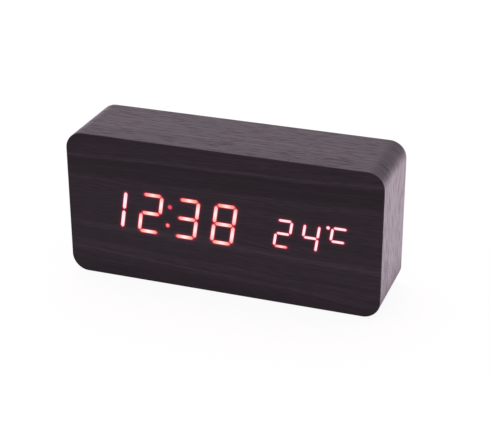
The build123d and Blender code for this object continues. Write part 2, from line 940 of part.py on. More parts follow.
def ribbon_route():
    """The ribbon's middle line from the display's socket to the control board's, in depth and height."""
    start_y = display_board_back_y + socket_height - socket_slot_depth
    end_y = control_front_y - socket_height + socket_slot_depth
    half_y = (start_y + end_y) / 2
    high_z = middle_z + socket_shift
    low_z = middle_z - socket_shift
    return [(start_y, high_z), (half_y, high_z), (half_y, low_z), (end_y, low_z)]


def ribbon_socket(z, board_y, way):
    top_y = board_y + way * socket_height
    body = Pos(ribbon_x, z) * Rectangle(socket_length, socket_width)
    slot = Pos(ribbon_x, z) * Rectangle(
        ribbon_width + 2 * socket_slot_clearance, ribbon_thickness + 2 * socket_slot_clearance
    )
    slot_run = sorted((top_y - way * socket_slot_depth, top_y + way * cut_overrun))
    return slab(body, *sorted((board_y, top_y))) - slab(slot, *slot_run)


def ribbon_sockets():
    upper = ribbon_socket(middle_z + socket_shift, display_board_back_y, 1)
    lower = ribbon_socket(middle_z - socket_shift, control_front_y, -1)
    return group([upper, lower])


def ribbon_cable():
    route = ribbon_route()
    bend = ribbon_bend_share * min(route[-1][0] - route[0][0], 2 * socket_shift)
    profile = trace(FilletPolyline(*route, radius=bend), ribbon_thickness)
    upright = Plane(origin=(ribbon_x - ribbon_width / 2, 0, 0), x_dir=(0, 1, 0), z_dir=(1, 0, 0))
    return extrude(upright * profile, amount=ribbon_width)


# Assembly


def build_parts():
    parts = {
        "case_body": case_body(),
        "side_film": side_film(),
        "front_film": front_film(),
        "back_film": back_film(),
        "display_reflector": display_reflector(),
        "colon_dots": segments("colon"),
        "dark_segments": dark_segments(),
        "led_chips": led_chips(),
        "display_board": display_board(),
        "display_board_screws": display_board_screws(),
        "driver_chip": driver_chip(),
        "ribbon_sockets": ribbon_sockets(),
        "ribbon_cable": ribbon_cable(),
        "control_board": control_board(),
        "control_board_screws": control_board_screws(),
        "control_chip": control_chip(),
        "capacitor": capacitor(),
        "crystal": crystal(),
        "buzzer": buzzer(),
        "microphone": microphone(),
        "thermistor": thermistor(),
        "power_jack": power_jack(),
        "power_jack_pin": power_jack_pin(),
        "switch_bodies": switch_bodies(),
        "rear_panel": rear_panel(),
        "rear_panel_screws": panel_screws(),
        "battery_door": battery_door(),
        "contact_plates": contact_plates(),
        "battery_springs": battery_springs(),
        "battery_lead_black": black_lead(),
        "battery_lead_red": red_lead(),
    }
    for name, _ in TIME_DIGITS + TEMPERATURE_DIGITS:
        parts[f"{name}_segments"] = segments(name)
    for place, name in enumerate(cell_names):
        parts[f"battery_cell_{name}"] = battery_cell(place)
    for place, name in enumerate(button_names):
        parts[f"{name}_button"] = button(place)
        parts[f"{name}_switch_plunger"] = plunger(place)
    return parts


def main():
    os.makedirs("parts", exist_ok=True)
    for name, shape in build_parts().items():
        export_step(shape, f"parts/{name}.step")
    print(f"cavity {cavity_width:.2f} x {cavity_height:.2f}, panel {panel_width:.2f} x {panel_height:.2f}")
    print(f"bay {bay_left:.2f} to {bay_right:.2f}, bottom {bay_bottom_y:.2f}")
    print(f"control board {control_left:.2f} to {board_right:.2f}, front {control_front_y:.2f}")
    print(f"reflector {reflector_left:.2f} to {reflector_right:.2f}, top {reflector_high:.2f}")
    print(f"columns {[round(x, 3) for x in columns]}, rows {button_row_z:.2f} and {socket_row_z:.2f}")
    print(f"door hinge at y {hinge_y:.3f}, z {hinge_z:.3f}")
    print(f"least gap in a battery spring {least_spring_gap():.2f}")


if __name__ == "__main__":
    main()
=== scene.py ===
import math

import bmesh
import bpy
from mathutils import Matrix, Vector

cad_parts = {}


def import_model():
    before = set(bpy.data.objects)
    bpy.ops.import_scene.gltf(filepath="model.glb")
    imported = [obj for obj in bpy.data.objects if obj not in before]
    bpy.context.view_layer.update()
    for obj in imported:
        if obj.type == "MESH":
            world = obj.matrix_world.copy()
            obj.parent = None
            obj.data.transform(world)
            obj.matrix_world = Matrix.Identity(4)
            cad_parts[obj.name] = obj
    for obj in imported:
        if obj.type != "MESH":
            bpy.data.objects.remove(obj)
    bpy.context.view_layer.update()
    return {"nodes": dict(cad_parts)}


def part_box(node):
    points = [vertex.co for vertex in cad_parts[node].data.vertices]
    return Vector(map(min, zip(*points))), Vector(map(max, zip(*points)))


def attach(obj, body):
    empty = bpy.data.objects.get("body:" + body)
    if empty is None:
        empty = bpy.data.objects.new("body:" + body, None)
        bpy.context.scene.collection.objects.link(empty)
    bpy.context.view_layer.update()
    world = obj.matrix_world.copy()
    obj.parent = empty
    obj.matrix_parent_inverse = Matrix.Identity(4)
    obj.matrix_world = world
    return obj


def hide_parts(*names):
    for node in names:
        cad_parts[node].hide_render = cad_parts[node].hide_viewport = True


# The looks of a digital clock: a block wrapped in black wood-grain film, with a red display that shines
# through its front. Metres, in the clock's own frame: +X right, +Y to the back, +Z up.

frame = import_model()

MM = 0.001

# Case
CASE_LOW, CASE_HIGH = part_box("side_film")
FRONT_LOW, FRONT_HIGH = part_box("front_film")
PANEL_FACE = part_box("rear_panel")[1].y
MIDDLE_Z = (CASE_LOW.z + CASE_HIGH.z) / 2
CASE_CORNER_RADIUS = 8 * MM
CORNER_STEPS = 24
FILM_THICKNESS = FRONT_HIGH.y - FRONT_LOW.y
FILM_SEAM = 0.15 * MM

# How a CAD shape is read: what counts as sharp, as flat, as one point, as facing one way, as at one depth
SHARP_ANGLE = math.radians(35)
FLAT_ANGLE = math.radians(0.5)
MERGE_DISTANCE = 0.002 * MM
FACING = 0.99
RIM_DEPTH = 0.01 * MM

# How far edges are eased
FILM_EASE = 0.12 * MM
BACK_FILM_EASE = 0.1 * MM
PANEL_EASE = 0.2 * MM
DOOR_EASE = 0.25 * MM
LATCH_RIB_EASE = 0.08 * MM
BUTTON_MARK_EASE = 0.06 * MM
SCREW_EASE = 0.06 * MM
EASE_STEPS = 3
FINE_EASE_STEPS = 2

# Display
LIT_NODES = (
    "hour_tens_segments",
    "hour_units_segments",
    "colon_dots",
    "minute_tens_segments",
    "minute_units_segments",
    "temperature_tens_segments",
    "temperature_units_segments",
    "degree_c_segments",
)
WARM_NODES = ("hour_units_segments", "minute_tens_segments", "minute_units_segments")
DIGIT_QUARTER = (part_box("minute_units_segments")[1].z - MIDDLE_Z) / 2
BAR_CORNERS = 6
LIT_FACE_DEPTH = 0.1 * MM
# How far the painted glow round the lit bars reaches into the film
PAINTED_GLOW_REACH = 2.4 * MM

# How many times as long as it is wide a bar is, how much of its half width is its red rim, and how much
# its light fades towards its tips: pink light by the first share, and orange light by both
BAR_PROPORTION = 4.8
RIM_SHARE = 0.2
TIP_FADE = 0.2
ORANGE_TIP_FADE = 0.38

# The light of each kind of bar and dot: how bright it burns, and how orange it is
PINK_LIGHT = (1.0, 0.15)
WARM_POST_LIGHT = (0.94, 0.65)
WARM_BAR_LIGHT = (0.94, 0.9)
WARM_TOP_BAR_LIGHT = (0.84, 0.9)
TEMPERATURE_LOW_BAR_LIGHT = (0.85, 0.8)
UPPER_DOT_LIGHT = (0.05, 0.0)
LOWER_DOT_LIGHT = (0.5, 0.8)

# The film's patterns: how long they are along the grain, and how wide across it. The real pores are half as
# wide as these, which would be too fine to show.
SIDE_BANDS = (60 * MM, 4.5 * MM)
SIDE_FIBRES = (75 * MM, 1.0 * MM)
SIDE_PORES = (18 * MM, 1.2 * MM)
SIDE_PATCHES = (45 * MM, 14 * MM)
SIDE_EMBOSSING = 0.34 * MM
FRONT_DRIFT = (70 * MM, 22 * MM)
FRONT_BANDS = (300 * MM, 6 * MM)
FRONT_THREADS = (32 * MM, 0.7 * MM)
FRONT_PORES = (9 * MM, 0.75 * MM)
FRONT_EMBOSSING = 0.04 * MM

# The front's growth lines: how far they reach from the middle, how far they wander, and how they spread out.
# The spread is given for the middle, and falls by this much for each metre to the right.
GRAIN_REACH = (CASE_HIGH.z - CASE_LOW.z) / 2
GRAIN_WAVE = 7 * MM
GRAIN_SPREAD = 0.9
GRAIN_SPREAD_FALL = 1.4

# The growth lines printed across the front film, from its lower edge to its upper one: place, and how pale
FRONT_FIGURE = (
    (0.0, 0.4),
    (0.15, 0.5),
    (0.17, 0.75),
    (0.185, 0.5),
    (0.225, 0.7),
    (0.245, 0.45),
    (0.33, 0.5),
    (0.37, 0.8),
    (0.4, 0.4),
    (0.5, 0.5),
    (0.66, 0.5),
    (0.7, 0.65),
    (0.725, 0.3),
    (0.81, 0.25),
    (0.832, 0.85),
    (0.85, 0.45),
    (0.92, 0.6),
    (1.0, 0.3),
)

# The same round the sides, from the front edge to the back one
SIDE_FIGURE = (
    (0.0, 0.45),
    (0.12, 0.4),
    (0.2, 0.25),
    (0.31, 0.3),
    (0.335, 0.9),
    (0.37, 0.5),
    (0.6, 0.5),
    (0.75, 0.4),
    (0.9, 0.55),
    (1.0, 0.5),
)

# The range that a pattern mostly stays in, where its tone sets the roughness
TONE_RANGE = {"From Min": 0.3, "From Max": 0.7}

# Plastic and metal: how far their roughness strays, and the sizes of their patterns
PLASTIC_STRAY = 0.08
MOULD_CLOUD = 18 * MM
GRIT_DEPTH_SHARE = 0.15
METAL_DULLER = 0.08
METAL_BRIGHTER = 0.06
METAL_CLOUD = 3 * MM
ROLL_LINE = 0.12 * MM
ROLL_LINE_PROPORTION = 30
ROLL_LINE_DEPTH = ROLL_LINE / 10

# The plastics: the darkest and the palest of their tones, their roughness, and the grit of their mould
PLASTICS = {
    # Black, dulled by a fine even pebble
    "spark_eroded_black_abs": ("#0e0d0e", "#1c1b1c", 0.55, 0.4 * MM),
    # Smoother black, with a soft sheen
    "satin_black_abs": ("#121213", "#1b1b1c", 0.38, 0.3 * MM),
    # Flat and chalky, a little off white
    "pad_printed_pale_ink": ("#b4b2ae", "#cfcdc8", 0.6, 0.2 * MM),
    # Waxy and slightly yellow white
    "moulded_white_nylon": ("#d5d3c8", "#e9e7dd", 0.45, 0.4 * MM),
    # The brightest white, with no gloss, to throw the light forwards
    "matte_white_polycarbonate": ("#d8d7d1", "#efeee8", 0.55, 0.3 * MM),
    # Dark blue, with the tight gloss of a shrunk sleeve
    "shrunk_pvc_capacitor_sleeve": ("#16233f", "#213257", 0.35, 0.6 * MM),
    # Wine red and glossy, nearly black without its light
    "unlit_red_epoxy": ("#3a1216", "#4c181d", 0.35, 0.5 * MM),
    # Cream, from the yellow of its filling
    "white_led_package": ("#cfc9a8", "#e6e0bf", 0.4, 0.2 * MM),
    # Charcoal, with the fine grain of a filled resin
    "moulded_black_epoxy": ("#151516", "#242425", 0.5, 0.15 * MM),
    # Smooth and slightly glossy, as it comes from its die
    "extruded_black_pvc": ("#101011", "#1c1c1d", 0.4, 0.3 * MM),
    "extruded_red_pvc": ("#7e1312", "#9c1e1b", 0.4, 0.3 * MM),
}

# The metals: the darkest and the palest of their tones, and their roughness
METALS = {
    # Bright, with a warm yellowish cast
    "nickel_plated_spring_steel": ("#a9a496", "#cfcabb", 0.28),
    # Bright, with a cold bluish cast
    "zinc_plated_steel": ("#9a9ea4", "#c3c7cc", 0.3),
    # Blackened, and oily grey where the light falls
    "black_oxide_steel": ("#1a1a1b", "#343436", 0.4),
}

# Fibreboard, circuit boards and ribbon
WOOD_FIBRE = (2.4 * MM, 0.3 * MM, 0.5 * MM)
WOOD_FIBRE_TURN = (0.5, 0.4, 0.7)
WOOD_CRUMB = 0.8 * MM
WOOD_FUZZ = 0.12 * MM
TRACK_WIDTH = 0.3 * MM
TRACK_LENGTH = 9 * MM
TRACK_PITCH = 2.54 * MM
GLASS_THREAD = 0.6 * MM
TRACK_HEIGHT = 0.04 * MM
RIBBON_PITCH = 1.27 * MM
RIBBON_GROOVE = 0.2 * MM

# Rear panel, door and buttons
DOOR_SINK = 0.2 * MM
SCREW_HEAD_RADIUS = 2.0 * MM
COUNTERSINK_RADIUS = 2.2 * MM
BUTTON_NAMES = ("set", "up", "down")
BUTTON_MARK_LIMIT = 0.6 * MM

# Battery cells
CELL_NAMES = ("bottom", "middle", "top")
TURNED_CELL = "middle"
CELL_LOW, CELL_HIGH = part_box("battery_cell_bottom")
CELL_LENGTH = CELL_HIGH.x - CELL_LOW.x
CELL_RADIUS = (CELL_HIGH.z - CELL_LOW.z) / 2
CELL_CAP_HEIGHT = 0.9 * MM
CELL_CAP_RADIUS = 1.9 * MM
CELL_CAP_EDGE = 0.25 * MM
CELL_CAN = CELL_LENGTH - CELL_CAP_HEIGHT
CELL_SINK = 0.3 * MM
CELL_TIN_RADIUS = 3.6 * MM
CELL_RIM_RADIUS = 4.0 * MM
CELL_ROLL = 0.75 * MM
CELL_CREASE = 0.1 * MM
CELL_CORNER_STEPS = 4
CELL_STEPS = 64

# The corners of a cell's outline from its flat end to its cap: along the cell, out from its middle, how round
CELL_OUTLINE = (
    (CELL_SINK, 0, 0),
    (CELL_SINK, CELL_TIN_RADIUS, CELL_CREASE),
    (0, CELL_RIM_RADIUS, CELL_CREASE),
    (0, CELL_RADIUS, CELL_ROLL),
    (CELL_CAN, CELL_RADIUS, CELL_ROLL),
    (CELL_CAN, CELL_RIM_RADIUS, CELL_CREASE),
    (CELL_CAN - CELL_SINK, CELL_RIM_RADIUS, CELL_CREASE),
    (CELL_CAN - CELL_SINK, CELL_CAP_RADIUS, CELL_CAP_EDGE),
    (CELL_LENGTH, CELL_CAP_RADIUS, CELL_CAP_EDGE),
    (CELL_LENGTH, 0, 0),
)

# How far in the sleeve and the washer reach on a cell's ends, and what is printed on the sleeve
SLEEVE_REACH = 4.15 * MM
WASHER_REACH = 2.2 * MM
SLEEVE_BAND_START = 33 * MM
SLEEVE_STRIPE_GAP = 1.2 * MM
SLEEVE_STRIPE = SLEEVE_BAND_START - SLEEVE_STRIPE_GAP
SLEEVE_STRIPE_HALF = 0.3 * MM
SLEEVE_PLUS = 39 * MM
SLEEVE_MINUS = 4 * MM
MARK_LONG = 1.6 * MM
MARK_THIN = 0.35 * MM
SLEEVE_MARKS = (
    (SLEEVE_PLUS, MARK_LONG, MARK_THIN),
    (SLEEVE_PLUS, MARK_THIN, MARK_LONG),
    (SLEEVE_MINUS, MARK_LONG, MARK_THIN),
)
SLEEVE_SCUFF = 2.5 * MM
SLEEVE_SCUFF_DEPTH = 0.03 * MM

# Battery springs
SPRING_LENGTH = 4.2 * MM
SPRING_WIRE = 0.3 * MM
SPRING_BASE = 3.2 * MM
SPRING_TIP = 2.3 * MM
SPRING_TURNS = 3
SPRING_STEPS = 28
SPRING_WIRE_SIDES = 10
SPRING_PLAY = 0.05 * MM

# Stage. To the camera the floor is mostly glow, which makes it white, and the rest of it takes the shadow.
FLOOR_SIZE = 12.0
FLOOR_DROP = 0.02 * MM
PAPER_WHITE = 0.85
SHADOW_SHARE = 0.16
FLOOR_GLOW = 0.905
WORLD_LIGHT = 0.75
STUDIO_TINT = "#ffebfb"

# The lamps: name, place, what they aim at, size and power
SOFTBOXES = (
    ("overhead_softbox", (-0.3, 0.5, 1.2), (0, 0, 0.03), (1.0, 0.8), 4),
    ("table_glow", (0.03, -0.065, 0.002), (0.03, -0.065, 1), (0.3, 0.07), 0.02),
    ("lit_table", (0.34, 0.285, 0.002), (0.34, 0.285, 1), (0.52, 0.63), 1.0),
)

# The camera, fitted to the edges of the case
CAMERA_PLACE = (0.20432, -0.55366, 0.31055)
CAMERA_AZIMUTH = math.radians(19.813)
CAMERA_ELEVATION = math.radians(25.257)
CAMERA_ROLL = math.radians(-0.214)
CAMERA_LENS = 103.8
CAMERA_SENSOR = 36

# The Mix node's colour inputs and result, which have no names of their own
MIX_FIRST, MIX_SECOND, MIX_RESULT = 6, 7, 2


# Helpers for materials


def linear(code):
    """An sRGB hex colour as linear RGBA."""
    shares = [int(code[place : place + 2], 16) / 255 for place in (1, 3, 5)]
    return [c / 12.92 if c <= 0.04045 else ((c + 0.055) / 1.055) ** 2.4 for c in shares] + [1.0]


def grey(value):
    """A mask's value as a colour."""
    return (value, value, value, 1.0)


def per_size(x, y, z=1):
    """A Mapping scale that gives a pattern cells of these sizes."""
    return (1 / x, 1 / y, 1 / z)


def new_material(name):
    material = bpy.data.materials.new(name)
    material.use_nodes = True
    material.node_tree.nodes.clear()
    return material


def add(owner, kind, inputs=None, stops=(), **settings):
    """Adds a node: its settings, its ramp's stops, and its inputs as values or as links from other nodes."""
    tree = owner.node_tree
    made = tree.nodes.new("ShaderNode" + kind)
    for name, value in settings.items():
        setattr(made, name, value)
    for place, (position, colour) in enumerate(stops):
        ramp = made.color_ramp.elements
        if place == 0:
            ramp.remove(ramp[1])
            ramp[0].position = position
        stop = ramp[0] if place == 0 else ramp.new(position)
        stop.color = colour
    for name, value in (inputs or {}).items():
        if isinstance(value, bpy.types.Node):
            value = value.outputs[0]
        if isinstance(value, bpy.types.NodeSocket):
            tree.links.new(value, made.inputs[name])
        else:
            made.inputs[name].default_value = value
    return made


# Materials


def side_film_material():
    """Calendered and embossed PVC film: satin black, with pores that show by how they turn the light."""
    made = new_material("embossed_pvc_film_sides")
    grain = add(made, "Attribute", attribute_name="grain").outputs["Vector"]
    broad = add(made, "Mapping", {"Vector": grain, "Scale": per_size(*SIDE_BANDS)})
    bands = add(made, "TexNoise", {"Vector": broad, "Scale": 1, "Detail": 3, "Roughness": 0.55})
    fine = add(made, "Mapping", {"Vector": grain, "Scale": per_size(*SIDE_FIBRES)})
    fibres = add(made, "TexNoise", {"Vector": fine, "Scale": 1, "Detail": 3, "Roughness": 0.6})
    short = add(made, "Mapping", {"Vector": grain, "Scale": per_size(*SIDE_PORES)})
    pores = add(made, "TexVoronoi", {"Vector": short, "Scale": 1}, voronoi_dimensions="2D")
    wide = add(made, "Mapping", {"Vector": grain, "Scale": per_size(*SIDE_PATCHES)})
    patches = add(made, "TexNoise", {"Vector": wide, "Scale": 1, "Detail": 1})
    depth = add(made, "SeparateXYZ", {"Vector": grain}).outputs["Y"]
    across = add(made, "MapRange", {"Value": depth, "From Min": CASE_LOW.y, "From Max": CASE_HIGH.y})
    figure = add(made, "ValToRGB", {"Fac": across}, [(share, grey(shade)) for share, shade in SIDE_FIGURE])
    crowd = add(made, "Math", {0: figure, 1: 0.2, 2: -0.165}, operation="MULTIPLY_ADD")
    crowd = add(made, "Math", {0: patches, 1: 0.1, 2: crowd}, operation="MULTIPLY_ADD")
    crowded = add(made, "Math", {0: pores, 1: crowd}, operation="ADD")
    pore_mask = add(made, "ValToRGB", {"Fac": crowded}, [(0.07, grey(1)), (0.17, grey(0))])
    tone = add(made, "Math", {0: bands, 1: 0.4, 2: -0.12}, operation="MULTIPLY_ADD")
    tone = add(made, "Math", {0: fibres, 1: 0.6, 2: tone}, operation="MULTIPLY_ADD")
    tone = add(made, "Math", {0: figure, 1: 0.25, 2: tone}, operation="MULTIPLY_ADD")
    ground = add(
        made,
        "ValToRGB",
        {"Fac": tone},
        [(0.36, linear("#0f0a0d")), (0.5, linear("#181216")), (0.64, linear("#251d22"))],
    )
    pitted = {"Factor": pore_mask, MIX_FIRST: ground, MIX_SECOND: linear("#0b080a")}
    colour = add(made, "Mix", pitted, data_type="RGBA").outputs[MIX_RESULT]
    dull = add(made, "MapRange", {"Value": tone, **TONE_RANGE, "To Min": 0.38, "To Max": 0.26})
    rough = add(made, "Math", {0: pore_mask, 1: 0.25, 2: dull}, operation="MULTIPLY_ADD")
    height = add(made, "Math", {0: pore_mask, 1: -0.45, 2: tone}, operation="MULTIPLY_ADD")
    bump = add(made, "Bump", {"Height": height, "Strength": 1.0, "Distance": SIDE_EMBOSSING})
    finish = {"Base Color": colour, "Roughness": rough, "IOR": 1.46, "Normal": bump}
    add(made, "OutputMaterial", {"Surface": add(made, "BsdfPrincipled", finish)})
    return made


def front_film_material(lines):
    """The same film in a see-through grade: smoother and darker. Round the lit bars it gives off a painted
    red glow, which stands for the bars' light soaked into it.
    """
    made = new_material("smoked_pvc_film_front")
    place = add(made, "TexCoord").outputs["Object"]
    drift_length, drift_height = FRONT_DRIFT
    warp = add(made, "Mapping", {"Vector": place, "Scale": per_size(drift_length, 1, drift_height)})
    drift = add(made, "TexNoise", {"Vector": warp, "Scale": 1, "Detail": 1.0})
    apart = add(made, "SeparateXYZ", {"Vector": place})
    x, z = apart.outputs["X"], apart.outputs["Z"]
    fan = add(made, "Math", {0: x, 1: -GRAIN_SPREAD_FALL, 2: GRAIN_SPREAD}, operation="MULTIPLY_ADD")
    level = add(made, "Math", {0: z, 1: MIDDLE_Z}, operation="SUBTRACT")
    fanned = add(made, "Math", {0: level, 1: fan}, operation="MULTIPLY")
    waved = add(made, "Math", {0: drift, 1: GRAIN_WAVE, 2: fanned}, operation="MULTIPLY_ADD")
    along = add(made, "CombineXYZ", {"X": x, "Y": waved})
    broad = add(made, "Mapping", {"Vector": along, "Scale": per_size(*FRONT_BANDS)})
    bands = add(made, "TexNoise", {"Vector": broad, "Scale": 1, "Detail": 2, "Roughness": 0.5})
    fine = add(made, "Mapping", {"Vector": along, "Scale": per_size(*FRONT_THREADS)})
    threads = add(made, "TexNoise", {"Vector": fine, "Scale": 1, "Detail": 3, "Roughness": 0.6})
    short = add(made, "Mapping", {"Vector": along, "Scale": per_size(*FRONT_PORES)})
    pores = add(made, "TexVoronoi", {"Vector": short, "Scale": 1}, voronoi_dimensions="2D")
    pore_mask = add(made, "ValToRGB", {"Fac": pores}, [(0.1, grey(1)), (0.4, grey(0))])
    lowest, highest = GRAIN_WAVE / 2 - GRAIN_REACH, GRAIN_WAVE / 2 + GRAIN_REACH
    across = add(made, "MapRange", {"Value": waved, "From Min": lowest, "From Max": highest})
    figure = add(made, "ValToRGB", {"Fac": across}, [(share, grey(shade)) for share, shade in FRONT_FIGURE])
    tone = add(made, "Math", {0: bands, 1: 0.25, 2: -0.045}, operation="MULTIPLY_ADD")
    tone = add(made, "Math", {0: threads, 1: 0.44, 2: tone}, operation="MULTIPLY_ADD")
    tone = add(made, "Math", {0: figure, 1: 0.45, 2: tone}, operation="MULTIPLY_ADD")
    tone = add(made, "Math", {0: pore_mask, 1: -0.09, 2: tone}, operation="MULTIPLY_ADD")
    colour = add(
        made,
        "ValToRGB",
        {"Fac": tone},
        [(0.36, linear("#120e11")), (0.5, linear("#1c161a")), (0.66, linear("#2e272d"))],
    )
    rough = add(made, "MapRange", {"Value": tone, **TONE_RANGE, "To Min": 0.55, "To Max": 0.45})
    bump = add(made, "Bump", {"Height": tone, "Strength": 0.25, "Distance": FRONT_EMBOSSING})
    # Painted glow: the film gives off red light of its own near the lit bars, fading with the distance from
    # them.
    edge = lit_distance(made, place, lines)
    reach = add(made, "MapRange", {"Value": edge, "From Min": 0.0, "From Max": PAINTED_GLOW_REACH})
    glow = add(
        made,
        "ValToRGB",
        {"Fac": reach},
        [
            (0.0, linear("#b4063c")),
            (0.08, linear("#700426")),
            (0.2, linear("#340210")),
            (0.42, linear("#150106")),
            (1.0, linear("#000000")),
        ],
    )
    finish = {
        "Base Color": colour,
        "Roughness": rough,
        "Specular IOR Level": 0.2,
        "Normal": bump,
        "Emission Color": glow,
        "Emission Strength": 1.0,
    }
    add(made, "OutputMaterial", {"Surface": add(made, "BsdfPrincipled", finish)})
    return made


def lit_distance(material, place, lines):
    """The distance from a point of the front to the edge of the nearest lit bar."""
    nearest = None
    for start, end, half in lines:
        run = end - start
        share = run / max(run.length_squared, MERGE_DISTANCE**2)
        offset = add(material, "VectorMath", {0: place, 1: start}, operation="SUBTRACT")
        along = add(material, "VectorMath", {0: offset, 1: share}, operation="DOT_PRODUCT").outputs["Value"]
        held = add(material, "Math", {0: along, 1: 0.0}, operation="ADD", use_clamp=True)
        foot = add(material, "VectorMath", {0: run, "Scale": held}, operation="SCALE")
        gap = add(material, "VectorMath", {0: offset, 1: foot}, operation="DISTANCE").outputs["Value"]
        edge = add(material, "Math", {0: gap, 1: half}, operation="SUBTRACT")
        if nearest is None:
            nearest = edge
        else:
            nearest = add(material, "Math", {0: nearest, 1: edge}, operation="MINIMUM")
    return nearest


def lit_resin_material():
    """Clear red epoxy over an LED: the heart of a bar burns out to pinkish white, and its rim stays red."""
    made = new_material("lit_red_epoxy")
    spot = add(made, "Attribute", attribute_name="spot").outputs["Vector"]
    power = add(made, "Attribute", attribute_name="power").outputs["Fac"]
    warmth = add(made, "Attribute", attribute_name="warmth").outputs["Fac"]
    apart = add(made, "SeparateXYZ", {"Vector": spot})
    x, y, is_dot = apart.outputs["X"], apart.outputs["Y"], apart.outputs["Z"]
    along = add(made, "Math", {0: x}, operation="ABSOLUTE")
    across = add(made, "Math", {0: y}, operation="ABSOLUTE")
    flank = add(made, "Math", {0: 1.0, 1: across}, operation="SUBTRACT")
    to_tip = add(made, "Math", {0: along, 1: -BAR_PROPORTION, 2: BAR_PROPORTION}, operation="MULTIPLY_ADD")
    mitre = add(made, "Math", {0: to_tip, 1: across}, operation="SUBTRACT")
    mitre = add(made, "Math", {0: mitre, 1: math.sqrt(0.5)}, operation="MULTIPLY")
    bar_depth = add(made, "Math", {0: flank, 1: mitre}, operation="MINIMUM")
    flat = add(made, "CombineXYZ", {"X": x, "Y": y})
    radius = add(made, "VectorMath", {0: flat}, operation="LENGTH").outputs["Value"]
    dot_depth = add(made, "Math", {0: 1.0, 1: radius}, operation="SUBTRACT")
    depth = add(made, "Mix", {"Factor": is_dot, "A": bar_depth, "B": dot_depth}, data_type="FLOAT")
    inside = add(made, "Math", {0: depth, 1: RIM_SHARE}, operation="DIVIDE", use_clamp=True)
    fade = add(made, "Math", {0: warmth, 1: -ORANGE_TIP_FADE, 2: -TIP_FADE}, operation="MULTIPLY_ADD")
    falling = add(made, "Math", {0: along, 1: fade, 2: 1.0}, operation="MULTIPLY_ADD")
    burning = add(made, "Math", {0: inside, 1: falling}, operation="MULTIPLY")
    burning = add(made, "Math", {0: burning, 1: power}, operation="MULTIPLY")
    pink = add(
        made,
        "ValToRGB",
        {"Fac": burning},
        [
            (0.0, linear("#ec1e4e")),
            (0.3, linear("#ff7c94")),
            (0.6, linear("#ffbccc")),
            (0.8, linear("#ffdfe8")),
            (1.0, linear("#ffeef4")),
        ],
    )
    orange = add(
        made,
        "ValToRGB",
        {"Fac": burning},
        [
            (0.0, linear("#e0163c")),
            (0.3, linear("#ff5854")),
            (0.6, linear("#ffa88c")),
            (0.8, linear("#ffddd2")),
            (1.0, linear("#fff2f2")),
        ],
    )
    warmed = {"Factor": warmth, MIX_FIRST: pink, MIX_SECOND: orange}
    colour = add(made, "Mix", warmed, data_type="RGBA").outputs[MIX_RESULT]
    finish = {
        "Base Color": linear("#2a0509"),
        "Roughness": 0.35,
        "Emission Color": colour,
        "Emission Strength": 1.0,
    }
    add(made, "OutputMaterial", {"Surface": add(made, "BsdfPrincipled", finish)})
    return made


def moulded_plastic(name, dark, light, roughness, grit):
    """A moulded plastic: the grit of its spark-eroded mould breaks up the gloss, and its tone drifts."""
    made = new_material(name)
    place = add(made, "TexCoord").outputs["Object"]
    fine = add(made, "TexNoise", {"Vector": place, "Scale": 1 / grit, "Detail": 3, "Roughness": 0.6})
    cloud = add(made, "TexNoise", {"Vector": place, "Scale": 1 / MOULD_CLOUD, "Detail": 2})
    tone = add(made, "Math", {0: fine, 1: 0.6, 2: 0.0}, operation="MULTIPLY_ADD")
    tone = add(made, "Math", {0: cloud, 1: 0.4, 2: tone}, operation="MULTIPLY_ADD")
    colour = add(made, "ValToRGB", {"Fac": tone}, [(0.35, linear(dark)), (0.65, linear(light))])
    gloss = {"To Min": roughness + PLASTIC_STRAY, "To Max": roughness - PLASTIC_STRAY}
    rough = add(made, "MapRange", {"Value": tone, **TONE_RANGE, **gloss})
    bump = add(made, "Bump", {"Height": fine, "Strength": 0.4, "Distance": GRIT_DEPTH_SHARE * grit})
    finish = {"Base Color": colour, "Roughness": rough, "IOR": 1.5, "Normal": bump}
    add(made, "OutputMaterial", {"Surface": add(made, "BsdfPrincipled", finish)})
    return made


def rolled_metal(name, dark, light, roughness):
    """A plated metal: fine lines from the rolls run one way across a cloudy gloss."""
    made = new_material(name)
    place = add(made, "TexCoord").outputs["Object"]
    line = per_size(ROLL_LINE, ROLL_LINE, ROLL_LINE_PROPORTION * ROLL_LINE)
    rolled = add(made, "Mapping", {"Vector": place, "Scale": line})
    lines = add(made, "TexNoise", {"Vector": rolled, "Scale": 1, "Detail": 3, "Roughness": 0.6})
    cloud = add(made, "TexNoise", {"Vector": place, "Scale": 1 / METAL_CLOUD, "Detail": 2})
    tone = add(made, "Math", {0: lines, 1: 0.5, 2: 0.0}, operation="MULTIPLY_ADD")
    tone = add(made, "Math", {0: cloud, 1: 0.5, 2: tone}, operation="MULTIPLY_ADD")
    colour = add(made, "ValToRGB", {"Fac": tone}, [(0.35, linear(dark)), (0.65, linear(light))])
    gloss = {"To Min": roughness + METAL_DULLER, "To Max": roughness - METAL_BRIGHTER}
    rough = add(made, "MapRange", {"Value": tone, **TONE_RANGE, **gloss})
    bump = add(made, "Bump", {"Height": lines, "Strength": 0.3, "Distance": ROLL_LINE_DEPTH})
    finish = {"Base Color": colour, "Roughness": rough, "Metallic": 1.0, "Normal": bump}
    add(made, "OutputMaterial", {"Surface": add(made, "BsdfPrincipled", finish)})
    return made


